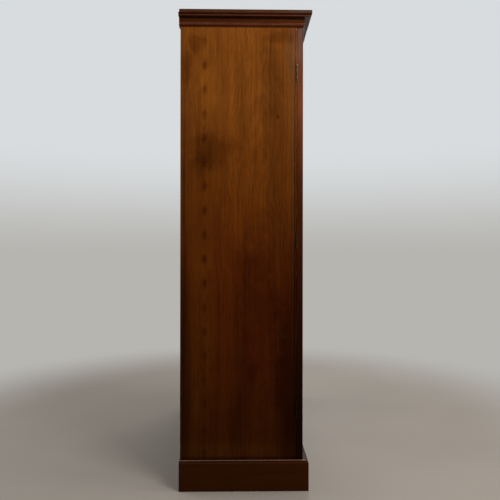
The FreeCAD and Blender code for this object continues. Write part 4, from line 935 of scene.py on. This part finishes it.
def modelPinHeads():
    heads = []
    for z in (plateLow.z + pinHead["fromEnd"], plateHigh.z - pinHead["fromEnd"]):
        startFresh()
        bpy.ops.mesh.primitive_uv_sphere_add(segments=pinHead["segments"], ring_count=pinHead["rings"],
                                             radius=pinHead["radius"], location=(plateX, plateLow.y, z))
        head = bpy.context.active_object
        head.scale = (1, pinHead["high"] / pinHead["radius"], 1)
        bpy.ops.object.transform_apply(location=True, scale=True)
        editAll()
        bpy.ops.mesh.bisect(plane_co=(0, plateLow.y + pinHead["sunk"], 0), plane_no=(0, 1, 0),
                            clear_outer=True, use_fill=True)
        bpy.ops.object.mode_set(mode="OBJECT")
        heads.append(head)
    pick(*heads)
    bpy.ops.object.join()
    heads[0].name = "escutcheon_pins"
    settle(heads[0], "door_right", brass, pinHead["smooth"])


def modelKeyCollar():
    startFresh()
    start = plateLow.y - keyCollar["offPlate"]
    first, radius = keyCollar["profile"][0]
    bpy.ops.mesh.primitive_circle_add(
        vertices=keyCollar["sides"], radius=radius, rotation=(math.pi / 2, 0, 0), fill_type="NGON",
        location=(plateX, start - first, keyCollar["high"]))
    collar = bpy.context.active_object
    collar.name = "key_collar"
    bpy.ops.object.transform_apply(location=True, rotation=True)
    editAll()
    for (at, wide), (nextAt, nextWide) in zip(keyCollar["profile"], keyCollar["profile"][1:]):
        bpy.ops.mesh.extrude_region_move(TRANSFORM_OT_translate={"value": (0, at - nextAt, 0)})
        bpy.ops.transform.resize(value=(nextWide / wide, 1, nextWide / wide),
                                 center_override=(plateX, start, keyCollar["high"]))
    settle(collar, "key", steel, keyCollar["smooth"])


modelMeetingBead()
modelPinHeads()
modelKeyCollar()
print("bead, pins and collar modelled")

# floor that fades into the backdrop, with a plain pale world

stage = {
    "radius": 14.0,
    "sides": 96,
    "near": (0.180, 0.158, 0.134),
    "fade": (1.15, 2.3),
    "clouds": {"detail": 2.0, "scale": 1.2},
    "cloudTones": ((0.3, (0.94,) * 3), (0.7, (1.06,) * 3)),
    "roughness": 0.6,
    "shine": 0.15,
    "wallTop": (0.69, 0.715, 0.73),
    "wallLow": (0.47, 0.46, 0.435),
    "wallFade": (-0.02, 0.20),
    "air": ((0.0, (0.13, 0.125, 0.12)), (0.25, (0.19, 0.19, 0.19)), (1.0, (0.34, 0.34, 0.35))),
    "airFade": (-0.1, 0.9),
}


# rays that see the backdrop itself: the camera's, and those mirrored or let through
def seenRays(tree):
    path = addNode(tree, "ShaderNodeLightPath").outputs
    mirrored = maths(tree, "MAXIMUM", path["Is Glossy Ray"], path["Is Transmission Ray"])
    return maths(tree, "MAXIMUM", path["Is Camera Ray"], mirrored)


def buildFloor():
    startFresh()
    bpy.ops.mesh.primitive_circle_add(vertices=stage["sides"], radius=stage["radius"], fill_type="NGON")
    floor = bpy.context.active_object
    floor.name = "studioFloor"
    made, tree, shader = newMaterial("studioFloorPaint")
    place = objectPlace(tree)
    fade = spread(tree, vectorMaths(tree, "LENGTH", place), *stage["fade"])
    clouds = ramp(tree, noise(tree, place, **stage["clouds"]), stage["cloudTones"])
    link(tree, tinted(tree, stage["near"], clouds), shader["Base Color"])
    shader["Roughness"].default_value = stage["roughness"]
    shader["Specular IOR Level"].default_value = stage["shine"]
    glow = addNode(tree, "ShaderNodeEmission")
    glow.inputs["Color"].default_value = (*stage["wallLow"], 1)
    paint, surface = shaderEnds(tree)
    faded = maths(tree, "MULTIPLY", fade, seenRays(tree))
    link(tree, mixShaders(tree, faded, paint, glow.outputs[0]), surface)
    floor.data.materials.append(made)


def backgroundOf(tree, color):
    made = addNode(tree, "ShaderNodeBackground")
    link(tree, color, made.inputs["Color"])
    return made.outputs[0]


def buildWorld():
    world = bpy.data.worlds.new("studioAir")
    bpy.context.scene.world = world
    world.use_nodes = True
    tree = world.node_tree
    tree.nodes.clear()
    up = axesOf(tree, addNode(tree, "ShaderNodeTexCoord").outputs["Generated"])["Z"]
    wall = mixColor(tree, spread(tree, up, *stage["wallFade"]), stage["wallLow"], stage["wallTop"])
    air = ramp(tree, spread(tree, up, *stage["airFade"], smooth=False), stage["air"])
    out = addNode(tree, "ShaderNodeOutputWorld")
    mixed = mixShaders(tree, seenRays(tree), backgroundOf(tree, air), backgroundOf(tree, wall))
    link(tree, mixed, out.inputs["Surface"])


lamps = {
    "high window": {"at": (-1.95, -1.3, 2.15), "aim": (-0.58, 0.0, 1.55), "size": (1.0, 0.7), "power": 78},
    "front fill": {"at": (-0.6, -3.1, 2.0), "aim": (0.0, -0.2, 0.95), "size": (2.0, 1.6), "power": 100},
    "right fill": {"at": (2.6, -0.4, 3.2), "aim": (0.58, 0.0, 1.3), "size": (1.6, 1.4), "power": 80},
    "back fill": {"at": (0.4, 2.9, 3.0), "aim": (0.0, 0.2, 1.2), "size": (2.0, 1.6), "power": 85},
}


def buildLamps():
    for name, lamp in lamps.items():
        data = bpy.data.lights.new(name, "AREA")
        data.shape = "RECTANGLE"
        data.size, data.size_y = lamp["size"]
        data.energy = lamp["power"]
        made = bpy.data.objects.new(name, data)
        bpy.context.collection.objects.link(made)
        made.location = lamp["at"]
        made.visible_camera = False
        made.visible_transmission = False  # no white patch of a lamp mirrored in the panes
        made.visible_glossy = name != "front fill"
        toward = Vector(lamp["aim"]) - Vector(lamp["at"])
        made.rotation_euler = toward.to_track_quat("-Z", "Y").to_euler()


# camera almost square to the left side, turned a little towards the front
photoView = {"fromSide": 1.85, "sideways": 0.0116, "height": 0.884,  # metres
             "turn": 0.927, "roll": 0.074,  # degrees
             "lens": 36.0, "sensor": 36.0}  # millimetres


def buildCamera():
    data = bpy.data.cameras.new("photoCamera")
    data.sensor_width = photoView["sensor"]
    data.lens = photoView["lens"]
    made = bpy.data.objects.new("photoCamera", data)
    bpy.context.collection.objects.link(made)
    made.location = (sideX - photoView["fromSide"], photoView["sideways"], photoView["height"])
    made.rotation_euler = (math.radians(90), math.radians(-photoView["roll"]),
                           math.radians(-90 - photoView["turn"]))
    bpy.context.scene.camera = made


buildFloor()
buildWorld()
buildLamps()
buildCamera()
bpy.context.scene.view_settings.view_transform = "Standard"
print("stage, lamps and camera set")
